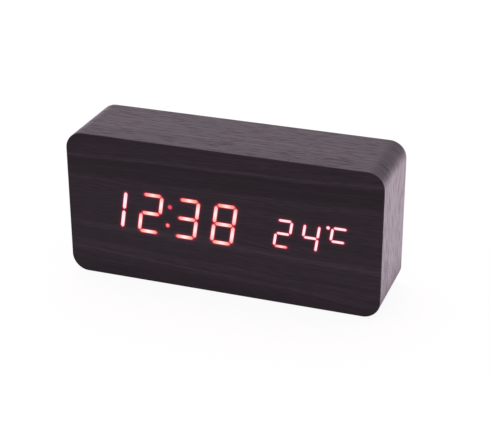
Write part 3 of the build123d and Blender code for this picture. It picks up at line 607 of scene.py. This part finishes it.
def fibreboard_material():
    """MDF, pressed from wood fibres and routed: a dull tan felt of short dark and pale fibres."""
    made = new_material("routed_mdf")
    place = add(made, "TexCoord").outputs["Object"]
    lie = {"Rotation": WOOD_FIBRE_TURN, "Scale": per_size(*WOOD_FIBRE)}
    turned = add(made, "Mapping", {"Vector": place, **lie})
    fibres = add(made, "TexNoise", {"Vector": turned, "Scale": 1, "Detail": 4, "Roughness": 0.65})
    crumbs = add(made, "TexNoise", {"Vector": place, "Scale": 1 / WOOD_CRUMB, "Detail": 3})
    tone = add(made, "Math", {0: fibres, 1: 0.6, 2: 0.0}, operation="MULTIPLY_ADD")
    tone = add(made, "Math", {0: crumbs, 1: 0.4, 2: tone}, operation="MULTIPLY_ADD")
    colour = add(
        made,
        "ValToRGB",
        {"Fac": tone},
        [(0.33, linear("#5c452e")), (0.5, linear("#8c6e4c")), (0.66, linear("#ad9068"))],
    )
    bump = add(made, "Bump", {"Height": tone, "Strength": 0.6, "Distance": WOOD_FUZZ})
    finish = {"Base Color": colour, "Roughness": 0.85, "IOR": 1.4, "Normal": bump}
    add(made, "OutputMaterial", {"Surface": add(made, "BsdfPrincipled", finish)})
    return made


def board_material():
    """FR-4 under green solder mask: its woven glass cloth and its copper tracks show as paler green."""
    made = new_material("green_masked_fr4")
    place = add(made, "TexCoord").outputs["Object"]
    upright = add(made, "Mapping", {"Vector": place, "Rotation": (math.pi / 2, 0, 0)})
    tracks = add(
        made,
        "TexBrick",
        {
            "Vector": upright,
            "Scale": 1.0,
            "Mortar Size": TRACK_WIDTH,
            "Mortar Smooth": 0.2,
            "Brick Width": TRACK_LENGTH,
            "Row Height": TRACK_PITCH,
            "Color1": grey(0),
            "Color2": grey(0.15),
            "Mortar": grey(1),
        },
    )
    weave = add(made, "Mapping", {"Vector": upright, "Scale": per_size(GLASS_THREAD, GLASS_THREAD)})
    threads = {"Color1": grey(0.45), "Color2": grey(0.55)}
    cloth = add(made, "TexChecker", {"Vector": weave, "Scale": 1.0, **threads})
    tone = add(made, "Math", {0: tracks, 1: 0.5, 2: cloth}, operation="MULTIPLY_ADD")
    colour = add(
        made,
        "ValToRGB",
        {"Fac": tone},
        [(0.44, linear("#0c4526")), (0.56, linear("#10502d")), (1.0, linear("#2c7a48"))],
    )
    bump = add(made, "Bump", {"Height": tone, "Strength": 0.3, "Distance": TRACK_HEIGHT})
    finish = {"Base Color": colour, "Roughness": 0.32, "IOR": 1.55, "Normal": bump}
    add(made, "OutputMaterial", {"Surface": add(made, "BsdfPrincipled", finish)})
    return made


def ribbon_material():
    """PVC ribbon cable: round wires side by side, with soft grooves between them painted darker as shade, and
    the first one red.
    """
    made = new_material("grey_pvc_ribbon")
    place = add(made, "TexCoord").outputs["Object"]
    x = add(made, "SeparateXYZ", {"Vector": place}).outputs["X"]
    start = add(made, "Math", {0: x, 1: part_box("ribbon_cable")[0].x}, operation="SUBTRACT")
    wires = add(made, "Math", {0: start, 1: RIBBON_PITCH}, operation="DIVIDE")
    turn = add(made, "Math", {0: wires, 1: math.pi}, operation="MULTIPLY")
    wave = add(made, "Math", {0: turn}, operation="SINE")
    round_back = add(made, "Math", {0: wave}, operation="ABSOLUTE")
    first = add(made, "Math", {0: wires, 1: 1.0}, operation="LESS_THAN")
    # Painted shade: the grey darkens into the grooves between the wires and is palest on their rounded backs.
    body = add(made, "ValToRGB", {"Fac": round_back}, [(0.0, linear("#5c5d60")), (0.5, linear("#9b9c9f"))])
    marked = {"Factor": first, MIX_FIRST: body, MIX_SECOND: linear("#a52a2a")}
    colour = add(made, "Mix", marked, data_type="RGBA").outputs[MIX_RESULT]
    bump = add(made, "Bump", {"Height": round_back, "Strength": 1.0, "Distance": RIBBON_GROOVE})
    finish = {"Base Color": colour, "Roughness": 0.5, "IOR": 1.5, "Normal": bump}
    add(made, "OutputMaterial", {"Surface": add(made, "BsdfPrincipled", finish)})
    return made


def cell_sleeve_material():
    """A printed PVC sleeve shrunk on a cell: glossy pale grey, with a green end and + and - marks."""
    made = new_material("shrunk_pvc_cell_sleeve")
    sleeve = add(made, "Attribute", attribute_name="sleeve").outputs["Vector"]
    apart = add(made, "SeparateXYZ", {"Vector": sleeve})
    along, height = apart.outputs["X"], apart.outputs["Z"]
    outside = add(made, "Math", {0: apart.outputs["Y"], 1: 0.0}, operation="GREATER_THAN")
    band = add(made, "Math", {0: along, 1: SLEEVE_BAND_START}, operation="GREATER_THAN")
    stripe = add(made, "Math", {0: along, 1: SLEEVE_STRIPE, 2: SLEEVE_STRIPE_HALF}, operation="COMPARE")
    print_area = add(made, "Math", {0: band, 1: stripe}, operation="MAXIMUM")
    marks = None
    for middle, wide, tall in SLEEVE_MARKS:
        near = add(made, "Math", {0: along, 1: middle, 2: wide}, operation="COMPARE")
        level = add(made, "Math", {0: height, 1: 0.0, 2: tall}, operation="COMPARE")
        bar = add(made, "Math", {0: near, 1: level}, operation="MULTIPLY")
        marks = bar if marks is None else add(made, "Math", {0: marks, 1: bar}, operation="MAXIMUM")
    marks = add(made, "Math", {0: marks, 1: outside}, operation="MULTIPLY")
    inked = add(made, "Math", {0: print_area, 1: marks}, operation="SUBTRACT")
    inked = add(made, "Math", {0: inked}, operation="ABSOLUTE")
    place = add(made, "TexCoord").outputs["Object"]
    worn = {"Scale": 1 / SLEEVE_SCUFF, "Detail": 4, "Roughness": 0.6}
    scuffs = add(made, "TexNoise", {"Vector": place, **worn})
    pale = add(made, "ValToRGB", {"Fac": scuffs}, [(0.35, linear("#c2c4bf")), (0.65, linear("#cbccc8"))])
    green = add(made, "ValToRGB", {"Fac": scuffs}, [(0.35, linear("#1f5e43")), (0.65, linear("#27684b"))])
    printed = {"Factor": inked, MIX_FIRST: pale, MIX_SECOND: green}
    colour = add(made, "Mix", printed, data_type="RGBA").outputs[MIX_RESULT]
    rough = add(made, "MapRange", {"Value": scuffs, **TONE_RANGE, "To Min": 0.38, "To Max": 0.26})
    bump = add(made, "Bump", {"Height": scuffs, "Strength": 0.2, "Distance": SLEEVE_SCUFF_DEPTH})
    finish = {"Base Color": colour, "Roughness": rough, "IOR": 1.54, "Coat Weight": 0.3, "Normal": bump}
    add(made, "OutputMaterial", {"Surface": add(made, "BsdfPrincipled", finish)})
    return made


# Helpers for pieces


def copy_of(node):
    """A CAD shape to work on: its triangles merged, and its flat faces whole again."""
    shape = bmesh.new()
    shape.from_mesh(frame["nodes"][node].data)
    bmesh.ops.remove_doubles(shape, verts=shape.verts, dist=MERGE_DISTANCE)
    bmesh.ops.dissolve_limit(shape, angle_limit=FLAT_ANGLE, verts=shape.verts, edges=shape.edges)
    return shape


def sharp_edges(shape):
    return [e for e in shape.edges if len(e.link_faces) == 2 and e.calc_face_angle() > SHARP_ANGLE]


def rim_edges(shape, level):
    """The outer edges that lie flat at this depth."""
    rims = []
    for edge in sharp_edges(shape):
        if edge.is_convex and all(abs(vert.co.y - level) < RIM_DEPTH for vert in edge.verts):
            rims.append(edge)
    return rims


def middle_of(edge):
    return (edge.verts[0].co + edge.verts[1].co) / 2


def soften(shape, edges, width, steps):
    """Rounds edges over."""
    bmesh.ops.bevel(
        shape,
        geom=edges,
        offset=width,
        offset_type="OFFSET",
        affect="EDGES",
        segments=steps,
        profile=0.5,
        material=-1,
    )
    bmesh.ops.remove_doubles(shape, verts=shape.verts, dist=MERGE_DISTANCE)


def round_corners(shape, corners, radius, steps):
    """Rounds corners of a flat outline."""
    bmesh.ops.bevel(
        shape,
        geom=corners,
        offset=radius,
        offset_type="OFFSET",
        affect="VERTICES",
        segments=steps,
        profile=0.5,
        material=-1,
    )


def rounded_sheet(shape, low, high, radius, y):
    """A flat sheet across X and Z, at depth y, with round corners."""
    places = ((low.x, low.z), (high.x, low.z), (high.x, high.z), (low.x, high.z))
    corners = [shape.verts.new((x, y, z)) for x, z in places]
    shape.faces.new(corners)
    round_corners(shape, corners, radius, CORNER_STEPS)


def finish_piece(shape, name, materials, body, nodes):
    """Turns a shape into an object that rides on its body and stands for its CAD nodes."""
    for face in shape.faces:
        face.smooth = True
    for edge in sharp_edges(shape):
        edge.smooth = False
    mesh = bpy.data.meshes.new(name)
    shape.to_mesh(mesh)
    shape.free()
    if "custom_normal" in mesh.attributes:
        mesh.attributes.remove(mesh.attributes["custom_normal"])
    for material in materials:
        mesh.materials.append(material)
    made = bpy.data.objects.new(name, mesh)
    bpy.context.scene.collection.objects.link(made)
    shading = made.modifiers.new("even_shading", "WEIGHTED_NORMAL")
    shading.keep_sharp = True
    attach(made, body)
    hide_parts(*nodes)


# Film


def way_round_case(point):
    """How far along the side film a point lies, from the joint underneath and round by the right."""
    flat_x = (CASE_HIGH.x - CASE_LOW.x) / 2 - CASE_CORNER_RADIUS
    flat_z = (CASE_HIGH.z - CASE_LOW.z) / 2 - CASE_CORNER_RADIUS
    to_top = 2 * flat_x + 2 * flat_z + CASE_CORNER_RADIUS * math.pi
    x, z = point.x, point.z - MIDDLE_Z
    over_x = max(abs(x) - flat_x, 0)
    over_z = abs(z) - flat_z
    if over_z <= 0:
        way = to_top / 2 + z
    else:
        from_middle = min(abs(x), flat_x) + CASE_CORNER_RADIUS * math.atan2(over_x, over_z)
        way = from_middle if z < 0 else to_top - from_middle
    return way if x >= 0 else 2 * to_top - way


def side_film(material):
    """The band of film round the case: an open strip whose two ends meet underneath."""
    shape = bmesh.new()
    rounded_sheet(shape, CASE_LOW, CASE_HIGH, CASE_CORNER_RADIUS, CASE_LOW.y)
    rim = [edge for edge in shape.edges if edge.is_boundary]
    sheet = shape.faces[:]
    grown = bmesh.ops.extrude_edge_only(shape, edges=rim)["geom"]
    depth = Vector((0, CASE_HIGH.y - CASE_LOW.y, 0))
    bmesh.ops.translate(shape, verts=[v for v in grown if isinstance(v, bmesh.types.BMVert)], vec=depth)
    bmesh.ops.delete(shape, geom=sheet, context="FACES_ONLY")
    for side in (-1, 1):
        everything = shape.verts[:] + shape.edges[:] + shape.faces[:]
        seam = (side * FILM_SEAM / 2, 0, 0)
        bmesh.ops.bisect_plane(shape, geom=everything, plane_co=seam, plane_no=(1, 0, 0))
    gap = []
    for face in shape.faces:
        middle = face.calc_center_median()
        if abs(middle.x) < FILM_SEAM / 2 and middle.z < MIDDLE_Z:
            gap.append(face)
    bmesh.ops.delete(shape, geom=gap, context="FACES")
    bmesh.ops.recalc_face_normals(shape, faces=shape.faces)
    top = max(shape.faces, key=lambda face: face.calc_center_median().z)
    if top.normal.z < 0:
        bmesh.ops.reverse_faces(shape, faces=shape.faces)
    bmesh.ops.solidify(shape, geom=shape.faces[:], thickness=FILM_THICKNESS)
    soften(shape, sharp_edges(shape), FILM_EASE, EASE_STEPS)
    grain = shape.verts.layers.float_vector.new("grain")
    for vert in shape.verts:
        vert[grain] = (way_round_case(vert.co), vert.co.y, 0)
    finish_piece(shape, "side_film_wrap", [material], "clock", ["side_film"])


def front_film(material):
    """The sheet over the front, with its outer edge eased. The holes for the bars stay crisp."""
    shape = copy_of("front_film")
    outer = []
    for edge in sharp_edges(shape):
        middle = middle_of(edge)
        in_x = min(middle.x - FRONT_LOW.x, FRONT_HIGH.x - middle.x)
        in_z = min(middle.z - FRONT_LOW.z, FRONT_HIGH.z - middle.z)
        is_front = middle.y < FRONT_LOW.y + FILM_THICKNESS / 2
        if is_front and min(in_x, in_z) < CASE_CORNER_RADIUS:
            outer.append(edge)
    soften(shape, outer, FILM_EASE, EASE_STEPS)
    finish_piece(shape, "front_film_sheet", [material], "clock", ["front_film"])


def back_film(material):
    """The frame of film round the rear panel. Its grain runs from side to side."""
    shape = copy_of("back_film")
    soften(shape, sharp_edges(shape), BACK_FILM_EASE, FINE_EASE_STEPS)
    grain = shape.verts.layers.float_vector.new("grain")
    for vert in shape.verts:
        vert[grain] = (vert.co.x, vert.co.z, 0)
    finish_piece(shape, "back_film_frame", [material], "clock", ["back_film"])


# Display


def lit_faces(shape):
    """The faces of bars and dots that are flush with the front."""
    faces = []
    for face in shape.faces:
        depth = face.calc_center_median().y - FRONT_LOW.y
        if face.normal.y < -FACING and depth < LIT_FACE_DEPTH:
            faces.append(face)
    return faces


def bar_frame(face):
    """The middle of a bar's face, the way along it, half its length and half its width; or a dot's radius."""
    points = [vert.co for vert in face.verts]
    middle = sum(points, Vector()) / len(points)
    tip = max(points, key=lambda point: (point - middle).length)
    reach = (tip - middle).length
    if len(points) > BAR_CORNERS:
        return middle, Vector((1, 0, 0)), reach, reach
    along = (tip - middle) / reach
    half = max((point - middle - along * (point - middle).dot(along)).length for point in points)
    return middle, along, reach, half


def lit_lines():
    """The middle line of every lit bar and dot on the front, with half its width."""
    lines = []
    for node in LIT_NODES:
        shape = copy_of(node)
        for face in lit_faces(shape):
            middle, along, reach, half = bar_frame(face)
            run = along * (reach - half)
            lines.append((middle - run, middle + run, half))
        shape.free()
    return lines


def bar_light(node, middle, along):
    """How bright the light of one bar or dot is, and how orange."""
    if node == "colon_dots":
        return UPPER_DOT_LIGHT if middle.z > MIDDLE_Z else LOWER_DOT_LIGHT
    if node == "temperature_tens_segments" and middle.z < MIDDLE_Z - DIGIT_QUARTER:
        return TEMPERATURE_LOW_BAR_LIGHT
    if node not in WARM_NODES:
        return PINK_LIGHT
    if abs(along.z) > abs(along.x):
        return WARM_POST_LIGHT
    return WARM_TOP_BAR_LIGHT if middle.z > MIDDLE_Z + DIGIT_QUARTER else WARM_BAR_LIGHT


def lit_segments(material):
    """The lit bars. Each point of one knows where on its bar it is, and how bright and orange it shines."""
    for node in LIT_NODES:
        shape = copy_of(node)
        spot = shape.verts.layers.float_vector.new("spot")
        power = shape.verts.layers.float.new("power")
        warmth = shape.verts.layers.float.new("warmth")
        for face in lit_faces(shape):
            middle, along, reach, half = bar_frame(face)
            across = along.cross(Vector((0, 1, 0)))
            is_dot = len(face.verts) > BAR_CORNERS
            bright, warm = bar_light(node, middle, along)
            for vert in face.verts:
                offset = vert.co - middle
                twins = [edge.other_vert(vert) for edge in vert.link_edges if edge not in face.edges[:]]
                for point in [vert] + twins:
                    point[spot] = (offset.dot(along) / reach, offset.dot(across) / half, float(is_dot))
                    point[power] = bright
                    point[warmth] = warm
        finish_piece(shape, "lit_" + node, [material], "clock", [node])


# Back


def rear_panel(plastic):
    """The plastic back, its edges and holes eased. The countersinks stay crisp, close to the screw heads."""
    shape = copy_of("rear_panel")
    low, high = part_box("rear_panel_screws")
    screw_x = high.x - SCREW_HEAD_RADIUS
    screw_levels = (low.z + SCREW_HEAD_RADIUS, high.z - SCREW_HEAD_RADIUS)
    eased = []
    for edge in rim_edges(shape, PANEL_FACE):
        middle = middle_of(edge)
        off_z = min(abs(middle.z - level) for level in screw_levels)
        if math.hypot(abs(middle.x) - screw_x, off_z) > COUNTERSINK_RADIUS:
            eased.append(edge)
    soften(shape, eased, PANEL_EASE, EASE_STEPS)
    bmesh.ops.triangulate(shape, faces=shape.faces)
    finish_piece(shape, "rear_panel_moulding", [plastic], "clock", ["rear_panel"])


def battery_door(plastic):
    """The door of the bay. The ribs of its latch stand up to the panel's face, a little above its own."""
    shape = copy_of("battery_door")
    soften(shape, rim_edges(shape, PANEL_FACE), LATCH_RIB_EASE, FINE_EASE_STEPS)
    soften(shape, rim_edges(shape, PANEL_FACE - DOOR_SINK), DOOR_EASE, EASE_STEPS)
    finish_piece(shape, "battery_door_moulding", [plastic], "door", ["battery_door"])


def buttons(plastic, paint):
    """The three buttons on the back, with paint in their sunk marks."""
    for name in BUTTON_NAMES:
        node = name + "_button"
        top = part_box(node)[1].y
        shape = copy_of(node)
        for face in shape.faces:
            depth = top - face.calc_center_median().y
            if face.normal.y > FACING and RIM_DEPTH < depth < BUTTON_MARK_LIMIT:
                face.material_index = 1
        soften(shape, rim_edges(shape, top), BUTTON_MARK_EASE, FINE_EASE_STEPS)
        finish_piece(shape, node + "_moulding", [plastic, paint], node + "_cap", [node])


def panel_screws(steel):
    """The screws of the rear panel, with the rims of their heads eased."""
    shape = copy_of("rear_panel_screws")
    soften(shape, rim_edges(shape, PANEL_FACE), SCREW_EASE, FINE_EASE_STEPS)
    finish_piece(shape, "rear_panel_screw_heads", [steel], "clock", ["rear_panel_screws"])


def spun_cell():
    """A cell that lies along X from its flat end, spun from its outline."""
    shape = bmesh.new()
    corners = [shape.verts.new((along, 0, out)) for along, out, _ in CELL_OUTLINE]
    for pair in zip(corners, corners[1:]):
        shape.edges.new(pair)
    for corner, (_, _, radius) in zip(corners, CELL_OUTLINE):
        if radius:
            round_corners(shape, [corner], radius, CELL_CORNER_STEPS)
    bmesh.ops.spin(
        shape,
        geom=shape.verts[:] + shape.edges[:],
        cent=(0, 0, 0),
        axis=(1, 0, 0),
        angle=2 * math.pi,
        steps=CELL_STEPS,
        use_merge=True,
    )
    bmesh.ops.remove_doubles(shape, verts=shape.verts, dist=MERGE_DISTANCE)
    bmesh.ops.recalc_face_normals(shape, faces=shape.faces)
    return shape


def battery_cells(sleeve_material, tin, washer):
    """Three cells, the middle one turned round: a sleeve rolled over at both ends, a washer and a cap."""
    for name in CELL_NAMES:
        node = "battery_cell_" + name
        low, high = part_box(node)
        middle = (low + high) / 2
        way = -1 if name == TURNED_CELL else 1
        shape = spun_cell()
        sleeve = shape.verts.layers.float_vector.new("sleeve")
        for vert in shape.verts:
            vert[sleeve] = (vert.co.x, vert.co.y * way, vert.co.z)
        for face in shape.faces:
            centre = face.calc_center_median()
            radius = math.hypot(centre.y, centre.z)
            if radius < SLEEVE_REACH:
                at_washer = centre.x > CELL_LENGTH / 2 and radius > WASHER_REACH
                face.material_index = 2 if at_washer else 1
        if way < 0:
            half_turn = Matrix.Rotation(math.pi, 3, "Z")
            bmesh.ops.rotate(shape, verts=shape.verts, cent=(0, 0, 0), matrix=half_turn)
        start = low.x if way > 0 else high.x
        bmesh.ops.translate(shape, verts=shape.verts, vec=(start, middle.y, middle.z))
        finish_piece(shape, node + "_sleeved", [sleeve_material, tin, washer], "clock", [node])


def battery_springs(wire):
    """The coned springs behind the cells: a ring of wire spun up into a coil and drawn in towards its tip."""
    shape = bmesh.new()
    rise = SPRING_LENGTH - 2 * SPRING_WIRE
    coil_steps = SPRING_TURNS * SPRING_STEPS
    for name in CELL_NAMES:
        cell_low, cell_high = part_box("battery_cell_" + name)
        centre = (cell_low + cell_high) / 2
        way = -1 if name == TURNED_CELL else 1
        flat_end = cell_low.x if way > 0 else cell_high.x
        start = flat_end - way * (SPRING_LENGTH + SPRING_PLAY - SPRING_WIRE)
        ring = bmesh.ops.create_circle(
            shape, cap_ends=True, segments=SPRING_WIRE_SIDES, radius=SPRING_WIRE
        )["verts"]
        bmesh.ops.translate(shape, verts=ring, vec=(start, centre.y + SPRING_BASE, centre.z))
        faces = list({face for vert in ring for face in vert.link_faces})
        edges = list({edge for vert in ring for edge in vert.link_edges})
        bmesh.ops.spin(
            shape,
            geom=ring + edges + faces,
            cent=(start, centre.y, centre.z),
            axis=(1, 0, 0),
            dvec=(way * rise / coil_steps, 0, 0),
            angle=2 * math.pi * SPRING_TURNS,
            steps=coil_steps,
        )
        for vert in shape.verts:
            out = Vector((0, vert.co.y - centre.y, vert.co.z - centre.z))
            if abs(vert.co.z - centre.z) < SPRING_BASE + 2 * SPRING_WIRE:
                share = min(max((vert.co.x - start) * way / rise, 0), 1)
                vert.co -= out.normalized() * share * (SPRING_BASE - SPRING_TIP)
    bmesh.ops.recalc_face_normals(shape, faces=shape.faces)
    finish_piece(shape, "battery_spring_coils", [wire], "clock", ["battery_springs"])


# Stage


def seen_directly(owner):
    """1 for the rays that show the background itself: from the camera, in a gloss and through glass."""
    path = add(owner, "LightPath")
    camera_ray, glossy_ray = path.outputs["Is Camera Ray"], path.outputs["Is Glossy Ray"]
    through_glass = path.outputs["Is Transmission Ray"]
    total = add(owner, "Math", {0: camera_ray, 1: glossy_ray}, operation="ADD")
    return add(owner, "Math", {0: total, 1: through_glass}, operation="ADD", use_clamp=True)


def background_colour(owner):
    """Pure white to the camera, and the faint pink of the studio's light to everything else."""
    camera_ray = add(owner, "LightPath").outputs["Is Camera Ray"]
    shown = {"Factor": camera_ray, MIX_FIRST: linear(STUDIO_TINT), MIX_SECOND: grey(1)}
    return add(owner, "Mix", shown, data_type="RGBA").outputs[MIX_RESULT]


def floor():
    """White paper, a hair below the clock. From beneath it can be seen through, so that the base shows."""
    made = new_material("white_paper_sweep")
    seen = seen_directly(made)
    shades = {"To Min": PAPER_WHITE, "To Max": PAPER_WHITE * SHADOW_SHARE}
    shade = add(made, "MapRange", {"Value": seen, **shades})
    paper = add(made, "BsdfDiffuse", {"Color": shade})
    glow = add(made, "Math", {0: seen, 1: FLOOR_GLOW}, operation="MULTIPLY")
    white = add(made, "Emission", {"Color": background_colour(made), "Strength": glow})
    both = add(made, "AddShader", {0: paper, 1: white})
    beneath = add(made, "NewGeometry").outputs["Backfacing"]
    one_sided = add(made, "MixShader", {0: beneath, 1: both, 2: add(made, "BsdfTransparent")})
    add(made, "OutputMaterial", {"Surface": one_sided})
    shape = bmesh.new()
    level = Matrix.Translation((0, 0, -FLOOR_DROP))
    bmesh.ops.create_grid(shape, x_segments=1, y_segments=1, size=FLOOR_SIZE / 2, matrix=level)
    mesh = bpy.data.meshes.new("floor")
    shape.to_mesh(mesh)
    shape.free()
    mesh.materials.append(made)
    plane = bpy.data.objects.new("floor", mesh)
    bpy.context.scene.collection.objects.link(plane)


def world():
    """A plain bright room, which the camera sees as white."""
    made = bpy.data.worlds.new("white_studio")
    made.use_nodes = True
    made.node_tree.nodes.clear()
    seen = seen_directly(made)
    strength = add(made, "MapRange", {"Value": seen, "To Min": WORLD_LIGHT, "To Max": 1.0})
    sky = add(made, "Background", {"Color": background_colour(made), "Strength": strength})
    add(made, "OutputWorld", {"Surface": sky})
    bpy.context.scene.world = made


def softbox(name, place, aim, size, power):
    """A lamp that lights the clock and stays out of the picture."""
    lamp = bpy.data.lights.new(name, "AREA")
    lamp.shape = "RECTANGLE"
    lamp.size, lamp.size_y = size
    lamp.energy = power
    lamp.color = linear(STUDIO_TINT)[:3]
    made = bpy.data.objects.new(name, lamp)
    made.location = place
    made.rotation_euler = (Vector(aim) - Vector(place)).to_track_quat("-Z", "Y").to_euler()
    made.visible_camera = False
    bpy.context.scene.collection.objects.link(made)


def camera():
    data = bpy.data.cameras.new("camera")
    data.lens = CAMERA_LENS
    data.sensor_width = CAMERA_SENSOR
    made = bpy.data.objects.new("camera", data)
    turn = Matrix.Rotation(CAMERA_AZIMUTH, 4, "Z")
    tilt = Matrix.Rotation(math.pi / 2 - CAMERA_ELEVATION, 4, "X")
    roll = Matrix.Rotation(CAMERA_ROLL, 4, "Z")
    made.matrix_world = Matrix.Translation(CAMERA_PLACE) @ turn @ tilt @ roll
    bpy.context.scene.collection.objects.link(made)
    bpy.context.scene.camera = made


# Assembly

film = side_film_material()
side_film(film)
front_film(front_film_material(lit_lines()))
back_film(film)
lit_segments(lit_resin_material())

plastics = {name: moulded_plastic(name, *look) for name, look in PLASTICS.items()}
metals = {name: rolled_metal(name, *look) for name, look in METALS.items()}
black_abs = plastics["spark_eroded_black_abs"]
button_abs = plastics["satin_black_abs"]
white_nylon = plastics["moulded_white_nylon"]
nickel = metals["nickel_plated_spring_steel"]
zinc = metals["zinc_plated_steel"]
black_steel = metals["black_oxide_steel"]

rear_panel(black_abs)
battery_door(black_abs)
buttons(button_abs, plastics["pad_printed_pale_ink"])
panel_screws(black_steel)
battery_cells(cell_sleeve_material(), zinc, white_nylon)
battery_springs(nickel)

# The finish of each slot of the pieces that keep their CAD shape
FINISHES = {
    "mdf": fibreboard_material(),
    "white_reflector_plastic": plastics["matte_white_polycarbonate"],
    "dark_resin": plastics["unlit_red_epoxy"],
    "led_chip": plastics["white_led_package"],
    "green_board": board_material(),
    "black_epoxy": plastics["moulded_black_epoxy"],
    "zinc_steel": zinc,
    "black_steel": black_steel,
    "nickel_contacts": nickel,
    "white_nylon": white_nylon,
    "grey_ribbon": ribbon_material(),
    "capacitor_sleeve": plastics["shrunk_pvc_capacitor_sleeve"],
    "black_plastic": black_abs,
    "button_plastic": button_abs,
    "black_insulation": plastics["extruded_black_pvc"],
    "red_insulation": plastics["extruded_red_pvc"],
}
for node in frame["nodes"].values():
    slot = node.material_slots[0]
    if not node.hide_render:
        slot.material = FINISHES[slot.material.name.split(".")[0]]

floor()
world()
for lamp in SOFTBOXES:
    softbox(*lamp)
camera()
bpy.context.scene.view_settings.view_transform = "Standard"
